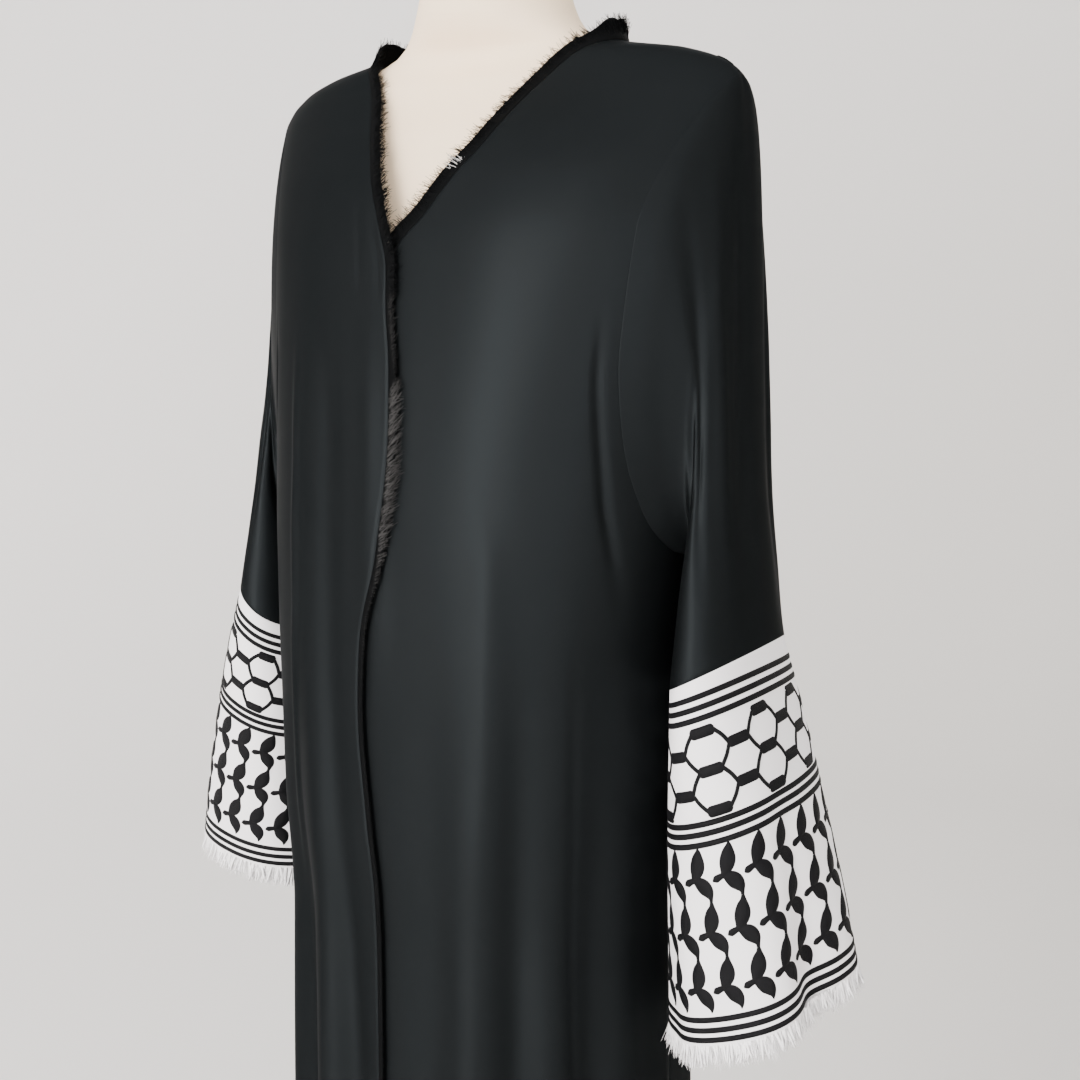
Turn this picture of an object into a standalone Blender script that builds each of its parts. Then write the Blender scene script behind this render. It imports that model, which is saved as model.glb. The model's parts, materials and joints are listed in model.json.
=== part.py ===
"""An open-front abaya with embroidered cuffs, worn by a limbless dress form on a stand.

Metres, +Z up, the front faces -Y and the garment's left is +X. The origin is on the floor under the pole.
Cloth is a wall made from two grids of points: the outer face, and the same points moved in along the normal.
The body of the garment is a stack of rings given by an angle round the body and a height:
0 degrees is the left side, -90 the centre front, 90 the centre back and 180 the right side.
"""

import math
from collections import namedtuple

import bmesh
import bpy
import numpy as np

# Walls, seams and layers
CLOTH_WALL = 0.0015
CUFF_WALL = 0.0018
TRIM_WALL = 0.0012
SEAM_GAP = 0.0003
LAYER_STEP = 0.0042
OVERLAP_MIDDLE = -0.020
OVERLAP_HALF_WIDTH = 0.045
OVERLAP_FADE = 0.055
OVERLAP_TOP = 1.320
OVERLAP_TOP_FADE = 0.060

# Heights of the garment
HEM_HEIGHT = 0.045
UNDERARM_HEIGHT = 1.080
SHOULDER_TIP_HEIGHT = 1.406
NECK_POINT_HEIGHT = 1.434
BACK_NECK_HEIGHT = 1.437

# Fringes and frayed trims
CUFF_FRINGE_STRIP = 0.004
CUFF_FRINGE_LENGTH = 0.020
CUFF_STRANDS = 44
TRIM_STRIP_WIDTH = 0.005
TRIM_FRINGE_LENGTH = 0.0075
TRIM_STRAND_PITCH = 0.017
STRAND_TAPER = 0.7
STRAND_SHARE = 0.35
LEFT_TRIM_BOTTOM = 1.29
COLLAR_STRIP_WIDTH = 0.012
COLLAR_STAND = 1.3
COLLAR_START = 0.040
COLLAR_BOTTOM = 1.400
COLLAR_RISE = 0.030

# The stand
TORSO_BOTTOM = 0.735
POLE_RADIUS = 0.0125
POLE_SIDES = 20
BASE_RADIUS = 0.185
BASE_THICKNESS = 0.014
BASE_SIDES = 48
BASE_ROUNDING = 0.003
FIT_GAP = 0.0003

# How finely the cloth is divided
FRONT_COLUMNS = 17
BACK_COLUMNS = 34
FORM_COLUMNS = 28
SHOULDER_COLUMNS = 5
SKIRT_ROWS = [0.045, 0.190, 0.340, 0.490, 0.630, 0.760, 0.870, 0.950, 1.020]
YOKE_ROWS = 11
NORMAL_TURN = 1.2
NORMAL_CLIMB = 0.004

# Ring sizes of the cloth round the body, from the hem up
Section = namedtuple("Section", "height half_width front_depth back_depth squareness")
BODY_SECTIONS = [
    Section(0.045, 0.205, 0.172, 0.165, 2.20),
    Section(0.350, 0.178, 0.158, 0.130, 2.25),
    Section(0.620, 0.151, 0.145, 0.100, 2.35),
    Section(0.800, 0.149, 0.143, 0.098, 2.40),
    Section(0.900, 0.157, 0.148, 0.101, 2.40),
    Section(1.000, 0.163, 0.149, 0.103, 2.40),
    Section(1.080, 0.170, 0.146, 0.107, 2.35),
    Section(1.160, 0.177, 0.139, 0.110, 2.30),
    Section(1.240, 0.186, 0.127, 0.110, 2.30),
    Section(1.300, 0.193, 0.114, 0.107, 2.30),
    Section(1.340, 0.198, 0.098, 0.100, 2.25),
    Section(1.370, 0.201, 0.079, 0.091, 2.15),
    Section(1.390, 0.200, 0.063, 0.082, 2.10),
    Section(1.403, 0.195, 0.053, 0.075, 2.05),
    Section(1.414, 0.184, 0.046, 0.072, 2.00),
    Section(1.425, 0.155, 0.041, 0.071, 2.00),
    Section(1.434, 0.106, 0.038, 0.071, 2.00),
    Section(1.443, 0.086, 0.036, 0.070, 2.00),
]

# How much narrower the garment hangs on its right side, as a share of the half width
Narrowing = namedtuple("Narrowing", "height share")
RIGHT_NARROWING = [
    Narrowing(0.045, 0.000),
    Narrowing(0.620, 0.033),
    Narrowing(0.800, 0.030),
    Narrowing(1.080, 0.024),
    Narrowing(1.160, 0.034),
    Narrowing(1.240, 0.045),
    Narrowing(1.300, 0.049),
    Narrowing(1.340, 0.045),
    Narrowing(1.370, 0.035),
    Narrowing(1.390, 0.030),
    Narrowing(1.403, 0.032),
    Narrowing(1.414, 0.040),
    Narrowing(1.425, 0.040),
    Narrowing(1.434, 0.000),
]

# Folds that hang from the bust, the shoulder blades and the sides: a ridge has a positive height
Fold = namedtuple("Fold", "angle_at_top angle_at_hem top height_at_middle height_at_hem half_width")
BODY_FOLDS = [
    Fold(-70, -69, 1.16, 0.0070, 0.020, 9),
    Fold(-56, -54, 1.10, -0.0060, -0.018, 8),
    Fold(-45, -40, 1.12, 0.0050, 0.020, 10),
    Fold(-33, -26, 1.08, -0.0050, -0.018, 9),
    Fold(-22, -12, 1.06, 0.0040, 0.020, 10),
    Fold(-96, -97, 1.10, -0.0030, -0.010, 8),
    Fold(-109, -111, 1.18, 0.0060, 0.018, 9),
    Fold(-123, -126, 1.10, -0.0070, -0.020, 9),
    Fold(-139, -141, 1.12, 0.0085, 0.020, 10),
    Fold(-156, -156, 1.02, -0.0030, -0.018, 9),
    Fold(-172, -171, 0.90, 0.0010, 0.020, 9),
    Fold(4, 6, 0.90, -0.0010, -0.018, 9),
    Fold(22, 23, 1.02, 0.0040, 0.020, 10),
    Fold(40, 41, 1.10, -0.0050, -0.020, 10),
    Fold(58, 59, 1.20, 0.0060, 0.022, 10),
    Fold(76, 76, 1.15, -0.0050, -0.018, 9),
    Fold(93, 93, 1.12, 0.0045, 0.020, 10),
    Fold(110, 111, 1.15, -0.0055, -0.020, 10),
    Fold(126, 128, 1.20, 0.0060, 0.022, 10),
    Fold(143, 145, 1.10, -0.0050, -0.018, 9),
    Fold(160, 162, 1.00, 0.0035, 0.020, 9),
]
FOLD_MIDDLE_HEIGHT = 0.65
FOLD_REACH = 1.6
FOLD_SHARPNESS = 2.2

# Front edges, from the hem up to the point where neck and shoulder meet
EdgePoint = namedtuple("EdgePoint", "height across")
RIGHT_FRONT_EDGE = [
    EdgePoint(0.045, -0.018),
    EdgePoint(0.400, -0.014),
    EdgePoint(0.713, -0.009),
    EdgePoint(0.843, -0.009),
    EdgePoint(0.900, -0.013),
    EdgePoint(0.970, -0.018),
    EdgePoint(1.027, -0.015),
    EdgePoint(1.083, -0.002),
    EdgePoint(1.157, 0.004),
    EdgePoint(1.212, 0.000),
    EdgePoint(1.250, -0.007),
    EdgePoint(1.283, -0.012),
    EdgePoint(1.300, -0.0195),
    EdgePoint(1.318, -0.029),
    EdgePoint(1.336, -0.039),
    EdgePoint(1.356, -0.050),
    EdgePoint(1.372, -0.060),
    EdgePoint(1.390, -0.071),
    EdgePoint(1.409, -0.083),
    EdgePoint(1.424, -0.094),
    EdgePoint(1.434, -0.106),
]
LEFT_FRONT_EDGE = [
    EdgePoint(0.045, -0.064),
    EdgePoint(0.400, -0.060),
    EdgePoint(0.713, -0.056),
    EdgePoint(0.900, -0.055),
    EdgePoint(1.027, -0.052),
    EdgePoint(1.120, -0.047),
    EdgePoint(1.200, -0.040),
    EdgePoint(1.250, -0.029),
    EdgePoint(1.285, -0.013),
    EdgePoint(1.300, -0.001),
    EdgePoint(1.312, 0.0105),
    EdgePoint(1.325, 0.0190),
    EdgePoint(1.342, 0.0300),
    EdgePoint(1.356, 0.0410),
    EdgePoint(1.372, 0.0500),
    EdgePoint(1.390, 0.0595),
    EdgePoint(1.406, 0.0710),
    EdgePoint(1.422, 0.0860),
    EdgePoint(1.434, 0.106),
]

# The armhole, as the angle from the side seam at each height
ArmholePoint = namedtuple("ArmholePoint", "height front back")
ARMHOLE = [
    ArmholePoint(1.080, 0.0, 0.0),
    ArmholePoint(1.088, 12.0, 12.0),
    ArmholePoint(1.115, 24.0, 24.0),
    ArmholePoint(1.165, 33.0, 32.0),
    ArmholePoint(1.230, 37.5, 36.0),
    ArmholePoint(1.300, 38.0, 36.0),
    ArmholePoint(1.350, 33.0, 32.0),
    ArmholePoint(1.382, 25.0, 24.0),
    ArmholePoint(1.399, 14.0, 14.0),
    ArmholePoint(1.406, 0.0, 0.0),
]

# Rings of the left sleeve and cuff, from the armhole (0) down. The outer and inner points are the far
# ends of a ring across the sleeve.
Ring = namedtuple("Ring", "number outer_x outer_z inner_x inner_z half_depth centre_y armhole_share")
SLEEVE_RINGS = [
    Ring(0, 0.2000, 1.402, 0.1870, 1.080, 0.0560, 0.004, 1.00),
    Ring(1, 0.2015, 1.380, 0.1865, 1.079, 0.0555, 0.005, 0.72),
    Ring(2, 0.2015, 1.345, 0.1850, 1.077, 0.0540, 0.006, 0.45),
    Ring(3, 0.2010, 1.300, 0.1830, 1.073, 0.0535, 0.006, 0.20),
    Ring(4, 0.2020, 1.250, 0.1800, 1.066, 0.0550, 0.004, 0.06),
    Ring(5, 0.2045, 1.195, 0.1765, 1.054, 0.0575, 0.001, 0.00),
    Ring(6, 0.2090, 1.140, 0.1735, 1.037, 0.0605, -0.003, 0.00),
    Ring(7, 0.2160, 1.085, 0.1710, 1.015, 0.0635, -0.006, 0.00),
    Ring(8, 0.2240, 1.029, 0.1690, 0.990, 0.0660, -0.009, 0.00),
    Ring(9, 0.2385, 0.984, 0.1670, 0.948, 0.0680, -0.009, 0.00),
    Ring(10, 0.2525, 0.939, 0.1650, 0.905, 0.0695, -0.008, 0.00),
    Ring(11, 0.2650, 0.894, 0.1635, 0.862, 0.0705, -0.007, 0.00),
    Ring(12, 0.2760, 0.850, 0.1630, 0.819, 0.0715, -0.006, 0.00),
    Ring(13, 0.2850, 0.8055, 0.1630, 0.776, 0.0720, -0.005, 0.00),
]
SLEEVE_SQUARENESS = 2.2
# How far the hem of each sleeve hangs below its place in the table, its front below its middle, how far the
# sleeve hangs closer in, and how far its inner side is higher at the cuff seam and lower at the hem
Hang = namedtuple("Hang", "drop front_drop inward seam_rise hem_drop")
SLEEVE_HANGS = {1: Hang(0.008, 0.014, 0.000, 0.010, 0.010), -1: Hang(-0.028, 0.002, 0.009, -0.008, 0.000)}
SEAM_RISE_START_RING = 4
CUFF_SEAM_RING = 8
CUFF_HEM_RING = 13

# The dress form, from its underside up to the neck
FORM_SECTIONS = [
    Section(0.735, 0.128, 0.098, 0.084, 2.0),
    Section(0.760, 0.133, 0.102, 0.088, 2.0),
    Section(0.850, 0.137, 0.106, 0.092, 2.0),
    Section(0.930, 0.134, 0.101, 0.090, 2.0),
    Section(1.020, 0.121, 0.092, 0.080, 2.0),
    Section(1.080, 0.124, 0.100, 0.083, 2.0),
    Section(1.130, 0.136, 0.118, 0.090, 2.0),
    Section(1.180, 0.148, 0.124, 0.096, 2.0),
    Section(1.240, 0.158, 0.114, 0.101, 2.0),
    Section(1.300, 0.169, 0.097, 0.099, 2.0),
    Section(1.345, 0.181, 0.079, 0.0910, 2.0),
    Section(1.370, 0.187, 0.066, 0.0835, 2.0),
    Section(1.388, 0.1858, 0.0540, 0.0755, 2.0),
    Section(1.401, 0.1840, 0.0470, 0.0705, 2.0),
    Section(1.4115, 0.1705, 0.0425, 0.0680, 2.0),
    Section(1.4225, 0.1400, 0.0360, 0.0655, 2.0),
    Section(1.4300, 0.1000, 0.0355, 0.0630, 2.0),
    Section(1.442, 0.0740, 0.0470, 0.0610, 2.0),
    Section(1.458, 0.0610, 0.0560, 0.0530, 2.0),
    Section(1.480, 0.0545, 0.0570, 0.0480, 2.0),
    Section(1.530, 0.0530, 0.0560, 0.0465, 2.0),
]


def smooth_value(rows, column, at):
    """A column of a table at any value of its first column, on a smooth curve through its rows."""
    xs = [row[0] for row in rows]
    ys = [getattr(row, column) for row in rows]
    at = min(max(at, xs[0]), xs[-1])
    i = min(max(int(np.searchsorted(xs, at)) - 1, 0), len(xs) - 2)
    step = xs[i + 1] - xs[i]
    rise = (ys[i + 1] - ys[i]) / step
    before = (ys[i] - ys[i - 1]) / (xs[i] - xs[i - 1]) if i > 0 else rise
    after = (ys[i + 2] - ys[i + 1]) / (xs[i + 2] - xs[i + 1]) if i + 2 < len(xs) else rise
    start = limited_slope(before, rise)
    end = limited_slope(rise, after)
    t = (at - xs[i]) / step
    low = (1 + 2 * t) * (1 - t) ** 2 * ys[i] + t * (1 - t) ** 2 * step * start
    high = t * t * (3 - 2 * t) * ys[i + 1] + t * t * (t - 1) * step * end
    return low + high


def limited_slope(before, after):
    """The slope at a row that keeps the curve from overshooting its neighbours."""
    if before * after <= 0:
        return 0.0
    return 2 * before * after / (before + after)


def ease(t):
    """From 0 to 1 on a smooth curve, and level beyond."""
    t = min(max(t, 0.0), 1.0)
    return t * t * (3 - 2 * t)


def power(value, exponent):
    """A power that keeps the sign."""
    return math.copysign(abs(value) ** exponent, value)


def ring_point(sections, angle, height):
    """A point of the plain ring at this height, with no folds."""
    half_width = smooth_value(sections, "half_width", height)
    depth = smooth_value(sections, "front_depth" if angle < 0 else "back_depth", height)
    exponent = 2 / smooth_value(sections, "squareness", height)
    radians = math.radians(angle)
    x = half_width * power(math.cos(radians), exponent)
    y = depth * power(math.sin(radians), exponent)
    return np.array([x, y, height])


def garment_ring_point(angle, height):
    """A point of the garment's plain ring, which is narrower on the right side."""
    point = ring_point(BODY_SECTIONS, angle, height)
    if point[0] < 0:
        point[0] *= 1 - smooth_value(RIGHT_NARROWING, "share", height)
    return point


def fold_height(angle, height):
    """How far the folds stand out from the plain ring."""
    total = 0.0
    for fold in BODY_FOLDS:
        if height >= fold.top:
            continue
        down = (fold.top - height) / (fold.top - HEM_HEIGHT)
        centre = fold.angle_at_top + (fold.angle_at_hem - fold.angle_at_top) * down
        away = abs((angle - centre + 180) % 360 - 180) / fold.half_width
        if away >= FOLD_REACH:
            continue
        middle = (fold.top - FOLD_MIDDLE_HEIGHT) / (fold.top - HEM_HEIGHT)
        if down < middle:
            rise = fold.height_at_middle * ease(down / middle)
        else:
            share = (down - middle) / (1 - middle)
            rise = fold.height_at_middle + (fold.height_at_hem - fold.height_at_middle) * share
        total += rise * math.exp(-FOLD_SHARPNESS * away * away)
    return total


def body_point(angle, height, out=0.0):
    """A point of the garment's outer face, with its folds, moved out by a distance."""
    plain = garment_ring_point(angle, height)
    across = garment_ring_point(angle + 0.5, height) - garment_ring_point(angle - 0.5, height)
    outwards = np.array([across[1], -across[0], 0.0])
    outwards /= np.linalg.norm(outwards)
    return plain + outwards * (fold_height(angle, height) + out)


def layer_out(layer, x, height):
    """How far a front is moved out or in where the two fronts lie on each other."""
    near_middle = 1 - ease((abs(x - OVERLAP_MIDDLE) - OVERLAP_HALF_WIDTH) / OVERLAP_FADE)
    below_neck = 1 - ease((height - OVERLAP_TOP) / OVERLAP_TOP_FADE)
    return layer * LAYER_STEP / 2 * near_middle * below_neck


def cloth_point(angle, height, layer=0):
    """A point of the outer face of the outer front (layer 1), the inner front (-1) or the back (0)."""
    x = garment_ring_point(angle, height)[0]
    return body_point(angle, height, layer_out(layer, x, height))


def cloth_normal(angle, height, layer=0):
    """The outward normal of the garment's outer face."""
    left = cloth_point(angle + NORMAL_TURN, height, layer)
    right = cloth_point(angle - NORMAL_TURN, height, layer)
    above = cloth_point(angle, height + NORMAL_CLIMB, layer)
    below = cloth_point(angle, height - NORMAL_CLIMB, layer)
    normal = np.cross(left - right, above - below)
    return normal / np.linalg.norm(normal)


def angle_at(x, height, side=-1):
    """The angle whose plain ring point has this x. The side is -1 on the front and 1 on the back."""
    half_width = smooth_value(BODY_SECTIONS, "half_width", height)
    squareness = smooth_value(BODY_SECTIONS, "squareness", height)
    if x < 0:
        half_width *= 1 - smooth_value(RIGHT_NARROWING, "share", height)
    share = min(max(x / half_width, -1.0), 1.0)
    return side * math.degrees(math.acos(power(share, squareness / 2)))


def armhole_angle(height, column, side):
    """The armhole's angle on the left (side 1) or right (side -1) of the front or back."""
    turn = smooth_value(ARMHOLE, column, height)
    sign = -1 if column == "front" else 1
    return sign * turn if side > 0 else sign * (180 - turn)


def seam_angle(angle, height, away):
    """The angle moved by half a seam gap, towards the front (-1) or the back (1)."""
    width = np.linalg.norm(cloth_point(angle + 0.5, height) - cloth_point(angle - 0.5, height))
    return angle + away * math.degrees(SEAM_GAP / 2 * math.radians(1) / width)


def coons(bottom, top, start, end, u, w):
    """A place between four border curves, each a function of 0 to 1 that gives a place."""
    corners = (
        (1 - u) * (1 - w) * bottom(0)
        + u * (1 - w) * bottom(1)
        + (1 - u) * w * top(0)
        + u * w * top(1)
    )
    sides = (1 - w) * bottom(u) + w * top(u) + (1 - u) * start(w) + u * end(w)
    return sides - corners


def flat_place(angle_and_height):
    """The (x, height) of an (angle, height) on the plain rings."""
    angle, height = angle_and_height
    return np.array([garment_ring_point(angle, height)[0], height])


def yoke_rows(bottom, top, start, end, columns, front_or_back):
    """Rows of (angle, height) above the underarm, spread evenly as seen from the front."""
    flat = [lambda t, curve=curve: flat_place(curve(t)) for curve in (bottom, top, start, end)]
    rows = [[bottom(u) for u in columns]]
    for k in range(1, YOKE_ROWS):
        w = k / YOKE_ROWS
        row = [start(w)]
        for u in columns[1:-1]:
            x, height = coons(*flat, u, w)
            row.append((angle_at(x, height, front_or_back), height))
        rows.append(row + [end(w)])
    rows.append([top(u) for u in columns])
    return rows


def skirt_row(start, end, columns):
    """A level row of (angle, height) between two ends."""
    return [tuple((1 - u) * a + u * b for a, b in zip(start, end)) for u in columns]


def front_panel_grid(edge, side, columns):
    """Rows of (angle, height) over a front, from the front edge to the side seam."""
    seam = 0.0 if side > 0 else -180.0
    toward_front = -1 if side > 0 else 1

    def at_edge(height):
        return angle_at(smooth_value(edge, "across", height), height, -1), height

    def at_seam(height):
        return seam_angle(seam, height, toward_front), height

    def bottom(u):
        return skirt_row(at_edge(UNDERARM_HEIGHT), at_seam(UNDERARM_HEIGHT), [u])[0]

    def top(u):
        return at_seam(NECK_POINT_HEIGHT + (SHOULDER_TIP_HEIGHT - NECK_POINT_HEIGHT) * u)

    def start(w):
        if w == 1:
            return at_seam(NECK_POINT_HEIGHT)
        return at_edge(UNDERARM_HEIGHT + (NECK_POINT_HEIGHT - UNDERARM_HEIGHT) * yoke_rise(w))

    def end(w):
        height = UNDERARM_HEIGHT + (SHOULDER_TIP_HEIGHT - UNDERARM_HEIGHT) * yoke_rise(w)
        if w in (0, 1):
            return at_seam(height)
        return armhole_angle(height, "front", side), height

    skirt = [skirt_row(at_edge(height), at_seam(height), columns) for height in SKIRT_ROWS]
    return skirt + yoke_rows(bottom, top, start, end, columns, -1)


def back_panel_grid(columns):
    """Rows of (angle, height) over the back, from the left side seam round to the right one."""
    shoulder = SHOULDER_COLUMNS / BACK_COLUMNS

    def at_seam(seam, height):
        return seam_angle(seam, height, 1 if seam == 0 else -1), height

    def bottom(u):
        return skirt_row(at_seam(0, UNDERARM_HEIGHT), at_seam(180, UNDERARM_HEIGHT), [u])[0]

    def top(u):
        from_side = min(u, 1 - u)
        if from_side <= shoulder:
            share = from_side / shoulder
            height = SHOULDER_TIP_HEIGHT + (NECK_POINT_HEIGHT - SHOULDER_TIP_HEIGHT) * share
            return at_seam(0 if u < 0.5 else 180, height)
        share = (u - shoulder) / (1 - 2 * shoulder)
        height = NECK_POINT_HEIGHT + (BACK_NECK_HEIGHT - NECK_POINT_HEIGHT) * math.sin(math.pi * share)
        ends = at_seam(0, NECK_POINT_HEIGHT)[0], at_seam(180, NECK_POINT_HEIGHT)[0]
        return (1 - share) * ends[0] + share * ends[1], height

    def armhole(side):
        def curve(w):
            height = UNDERARM_HEIGHT + (SHOULDER_TIP_HEIGHT - UNDERARM_HEIGHT) * yoke_rise(w)
            if w in (0, 1):
                return at_seam(0 if side > 0 else 180, height)
            return armhole_angle(height, "back", side), height

        return curve

    skirt = [skirt_row(at_seam(0, height), at_seam(180, height), columns) for height in SKIRT_ROWS]
    return skirt + yoke_rows(bottom, top, armhole(1), armhole(-1), columns, 1)


def yoke_rise(w):
    """How far up the yoke a row lies. The rows crowd towards the underarm and the shoulder."""
    return 0.5 - 0.5 * math.cos(math.pi * w)


def wall(name, outer, inner, colour, around=False):
    """A closed wall between two grids of points of the same shape. Around joins each row to itself.

    The faces of its first and last row are split the same way, so that two walls meet evenly at a seam.
    """
    rows, columns = len(outer), len(outer[0])
    points = [tuple(p) for row in outer for p in row] + [tuple(p) for row in inner for p in row]
    half = rows * columns
    faces = []

    def at(i, j):
        return i * columns + j % columns

    last = columns if around else columns - 1
    for i in range(rows - 1):
        for j in range(last):
            faces.append((at(i, j), at(i, j + 1), at(i + 1, j + 1), at(i + 1, j)))
            faces.append((half + at(i, j), half + at(i + 1, j), half + at(i + 1, j + 1), half + at(i, j + 1)))
    for i in (0, rows - 1):
        for j in range(last):
            faces.append((at(i, j + 1), at(i, j), half + at(i, j)))
            faces.append((at(i, j + 1), half + at(i, j), half + at(i, j + 1)))
    if not around:
        for i in range(rows - 1):
            faces.append((at(i, 0), at(i + 1, 0), half + at(i + 1, 0), half + at(i, 0)))
            faces.append((at(i + 1, last), at(i, last), half + at(i, last), half + at(i + 1, last)))
    return solid(name, points, faces, colour)


def solid(name, points, faces, colour):
    """A named object from points and faces, with its faces turned out."""
    mesh = bpy.data.meshes.new(name)
    mesh.from_pydata([tuple(float(v) for v in p) for p in points], [], faces)
    mesh.validate()
    obj = bpy.data.objects.new(name, mesh)
    PARTS.objects.link(obj)
    turn_out(obj)
    mesh.materials.append(material(colour))
    mesh.shade_smooth()
    return obj


def turn_out(obj):
    """Point the faces of a closed body outwards."""
    shape = bmesh.new()
    shape.from_mesh(obj.data)
    bmesh.ops.recalc_face_normals(shape, faces=shape.faces)
    if shape.calc_volume(signed=True) < 0:
        bmesh.ops.reverse_faces(shape, faces=shape.faces)
    shape.to_mesh(obj.data)
    shape.free()


COLOURS = {
    "black_cloth": ((0.022, 0.024, 0.028, 1.0), 0.75, 0.0),
    "white_cloth": ((0.86, 0.85, 0.86, 1.0), 0.85, 0.0),
    "cream_canvas": ((0.80, 0.74, 0.64, 1.0), 0.80, 0.0),
    "painted_steel": ((0.05, 0.05, 0.055, 1.0), 0.40, 0.9),
}


def material(name):
    """The material with this name, made the first time it is asked for."""
    if name in bpy.data.materials:
        return bpy.data.materials[name]
    colour, roughness, metallic = COLOURS[name]
    made = bpy.data.materials.new(name)
    made.use_nodes = True
    shader = made.node_tree.nodes["Principled BSDF"]
    shader.inputs["Base Color"].default_value = colour
    shader.inputs["Roughness"].default_value = roughness
    shader.inputs["Metallic"].default_value = metallic
    return made


def even(count):
    """Places from 0 to 1, evenly apart."""
    return [k / count for k in range(count + 1)]


def cloth_panel(name, grid, layer):
    """A piece of the body of the garment, from its rows of (angle, height)."""
    outer = [[cloth_point(a, h, layer) for a, h in row] for row in grid]
    inner = [
        [p - CLOTH_WALL * cloth_normal(a, h, layer) for (a, h), p in zip(row, points)]
        for row, points in zip(grid, outer)
    ]
    return wall(name, outer, inner, "black_cloth")


def mirrored(grid, side):
    """The grid as it is for the left side (1), and with x turned round for the right side (-1)."""
    return [[np.array([side * p[0], p[1], p[2]]) for p in row] for row in grid]


def armhole_stations(side):
    """Points round an armhole from the underarm up the front and down the back, as (angle, height)."""
    stations = []
    for k in range(YOKE_ROWS + 1):
        height = UNDERARM_HEIGHT + (SHOULDER_TIP_HEIGHT - UNDERARM_HEIGHT) * yoke_rise(k / YOKE_ROWS)
        stations.append((armhole_angle(height, "front", side), height))
    for k in range(YOKE_ROWS - 1, 0, -1):
        height = UNDERARM_HEIGHT + (SHOULDER_TIP_HEIGHT - UNDERARM_HEIGHT) * yoke_rise(k / YOKE_ROWS)
        stations.append((armhole_angle(height, "back", side), height))
    return stations


def inner_shift(number, hang):
    """How far the inner side of a ring is moved up at the cuff seam and down at the hem."""
    above = ease((number - SEAM_RISE_START_RING) / (CUFF_SEAM_RING - SEAM_RISE_START_RING))
    below = ease((number - CUFF_SEAM_RING) / (CUFF_HEM_RING - CUFF_SEAM_RING))
    return hang.seam_rise * (above - below) - hang.hem_drop * below


def tube_point(number, station, side):
    """A point of a sleeve's plain ring, as on the left. The station counts from the underarm up the front."""

    def value(column):
        return smooth_value(SLEEVE_RINGS, column, number)

    around = math.pi * (1 - station / YOKE_ROWS)
    hang = SLEEVE_HANGS[side]
    share = number / CUFF_HEM_RING
    outer = np.array([value("outer_x"), 0, value("outer_z")])
    inner = np.array([value("inner_x"), 0, value("inner_z") + inner_shift(number, hang)])
    frontwards = np.array([0, -value("half_depth"), -(share**3) * hang.front_drop])
    centre = (outer + inner) / 2 + np.array([-hang.inward, value("centre_y"), -share * hang.drop])
    exponent = 2 / SLEEVE_SQUARENESS
    across = power(math.cos(around), exponent) * (outer - inner) / 2
    return centre + across + power(math.sin(around), exponent) * frontwards


def sleeve_grid(numbers, side):
    """Rings of points of a sleeve's outer face, mirrored to the left for the right sleeve."""
    flip = np.array([side, 1, 1])
    armhole = [flip * cloth_point(a, h) for a, h in armhole_stations(side)]
    rings = []
    for number in numbers:
        share = smooth_value(SLEEVE_RINGS, "armhole_share", number)
        rings.append(
            [share * place + (1 - share) * tube_point(number, j, side) for j, place in enumerate(armhole)]
        )
    return rings


def ring_normals(rings):
    """Outward normals of closed rings of points that run down a sleeve."""
    count = len(rings[0])
    normals = []
    for i, ring in enumerate(rings):
        below = rings[min(i + 1, len(rings) - 1)]
        above = rings[max(i - 1, 0)]
        centre = sum(ring) / count
        row = []
        for j in range(count):
            normal = np.cross(ring[(j + 1) % count] - ring[j - 1], below[j] - above[j])
            normal /= np.linalg.norm(normal)
            row.append(normal if normal @ (ring[j] - centre) > 0 else -normal)
        normals.append(row)
    return normals


def sleeve(name, side, rings, normals):
    """A sleeve whose first ring lies a seam gap outside the armhole of the body pieces."""
    flip = np.array([side, 1, 1])
    stations = armhole_stations(side)
    count = len(stations)
    middle = sum(rings[0]) / count
    outer = [list(ring) for ring in rings[: CUFF_SEAM_RING + 1]]
    inner = [[p - CLOTH_WALL * n for p, n in zip(ring, row)] for ring, row in zip(outer, normals)]
    for j, (angle, height) in enumerate(stations):
        body_normal = flip * cloth_normal(angle, height)
        along = rings[0][(j + 1) % count] - rings[0][j - 1]
        away = np.cross(body_normal, along)
        away /= np.linalg.norm(away)
        if away @ (middle - rings[0][j]) < 0:
            away = -away
        start = rings[0][j] + SEAM_GAP * away
        lean = max(0.0, -(normals[1][j] @ away)) / (1 + max(0.0, normals[1][j] @ body_normal))
        outer[0][j] = start
        inner[0][j] = start - CLOTH_WALL * (body_normal - lean * away)
    return wall(name, mirrored(outer, side), mirrored(inner, side), "black_cloth", around=True)


def cuff(name, side, rings, normals):
    """An embroidered cuff, a seam gap below the sleeve."""
    outer = [list(ring) for ring in rings[CUFF_SEAM_RING:]]
    for j, (top, below) in enumerate(zip(outer[0], outer[1])):
        outer[0][j] = top + SEAM_GAP * (below - top) / np.linalg.norm(below - top)
    inner = [
        [p - CUFF_WALL * n for p, n in zip(ring, row)] for ring, row in zip(outer, normals[CUFF_SEAM_RING:])
    ]
    return wall(name, mirrored(outer, side), mirrored(inner, side), "white_cloth", around=True)


Station = namedtuple("Station", "root across normal width has_strand")


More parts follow.
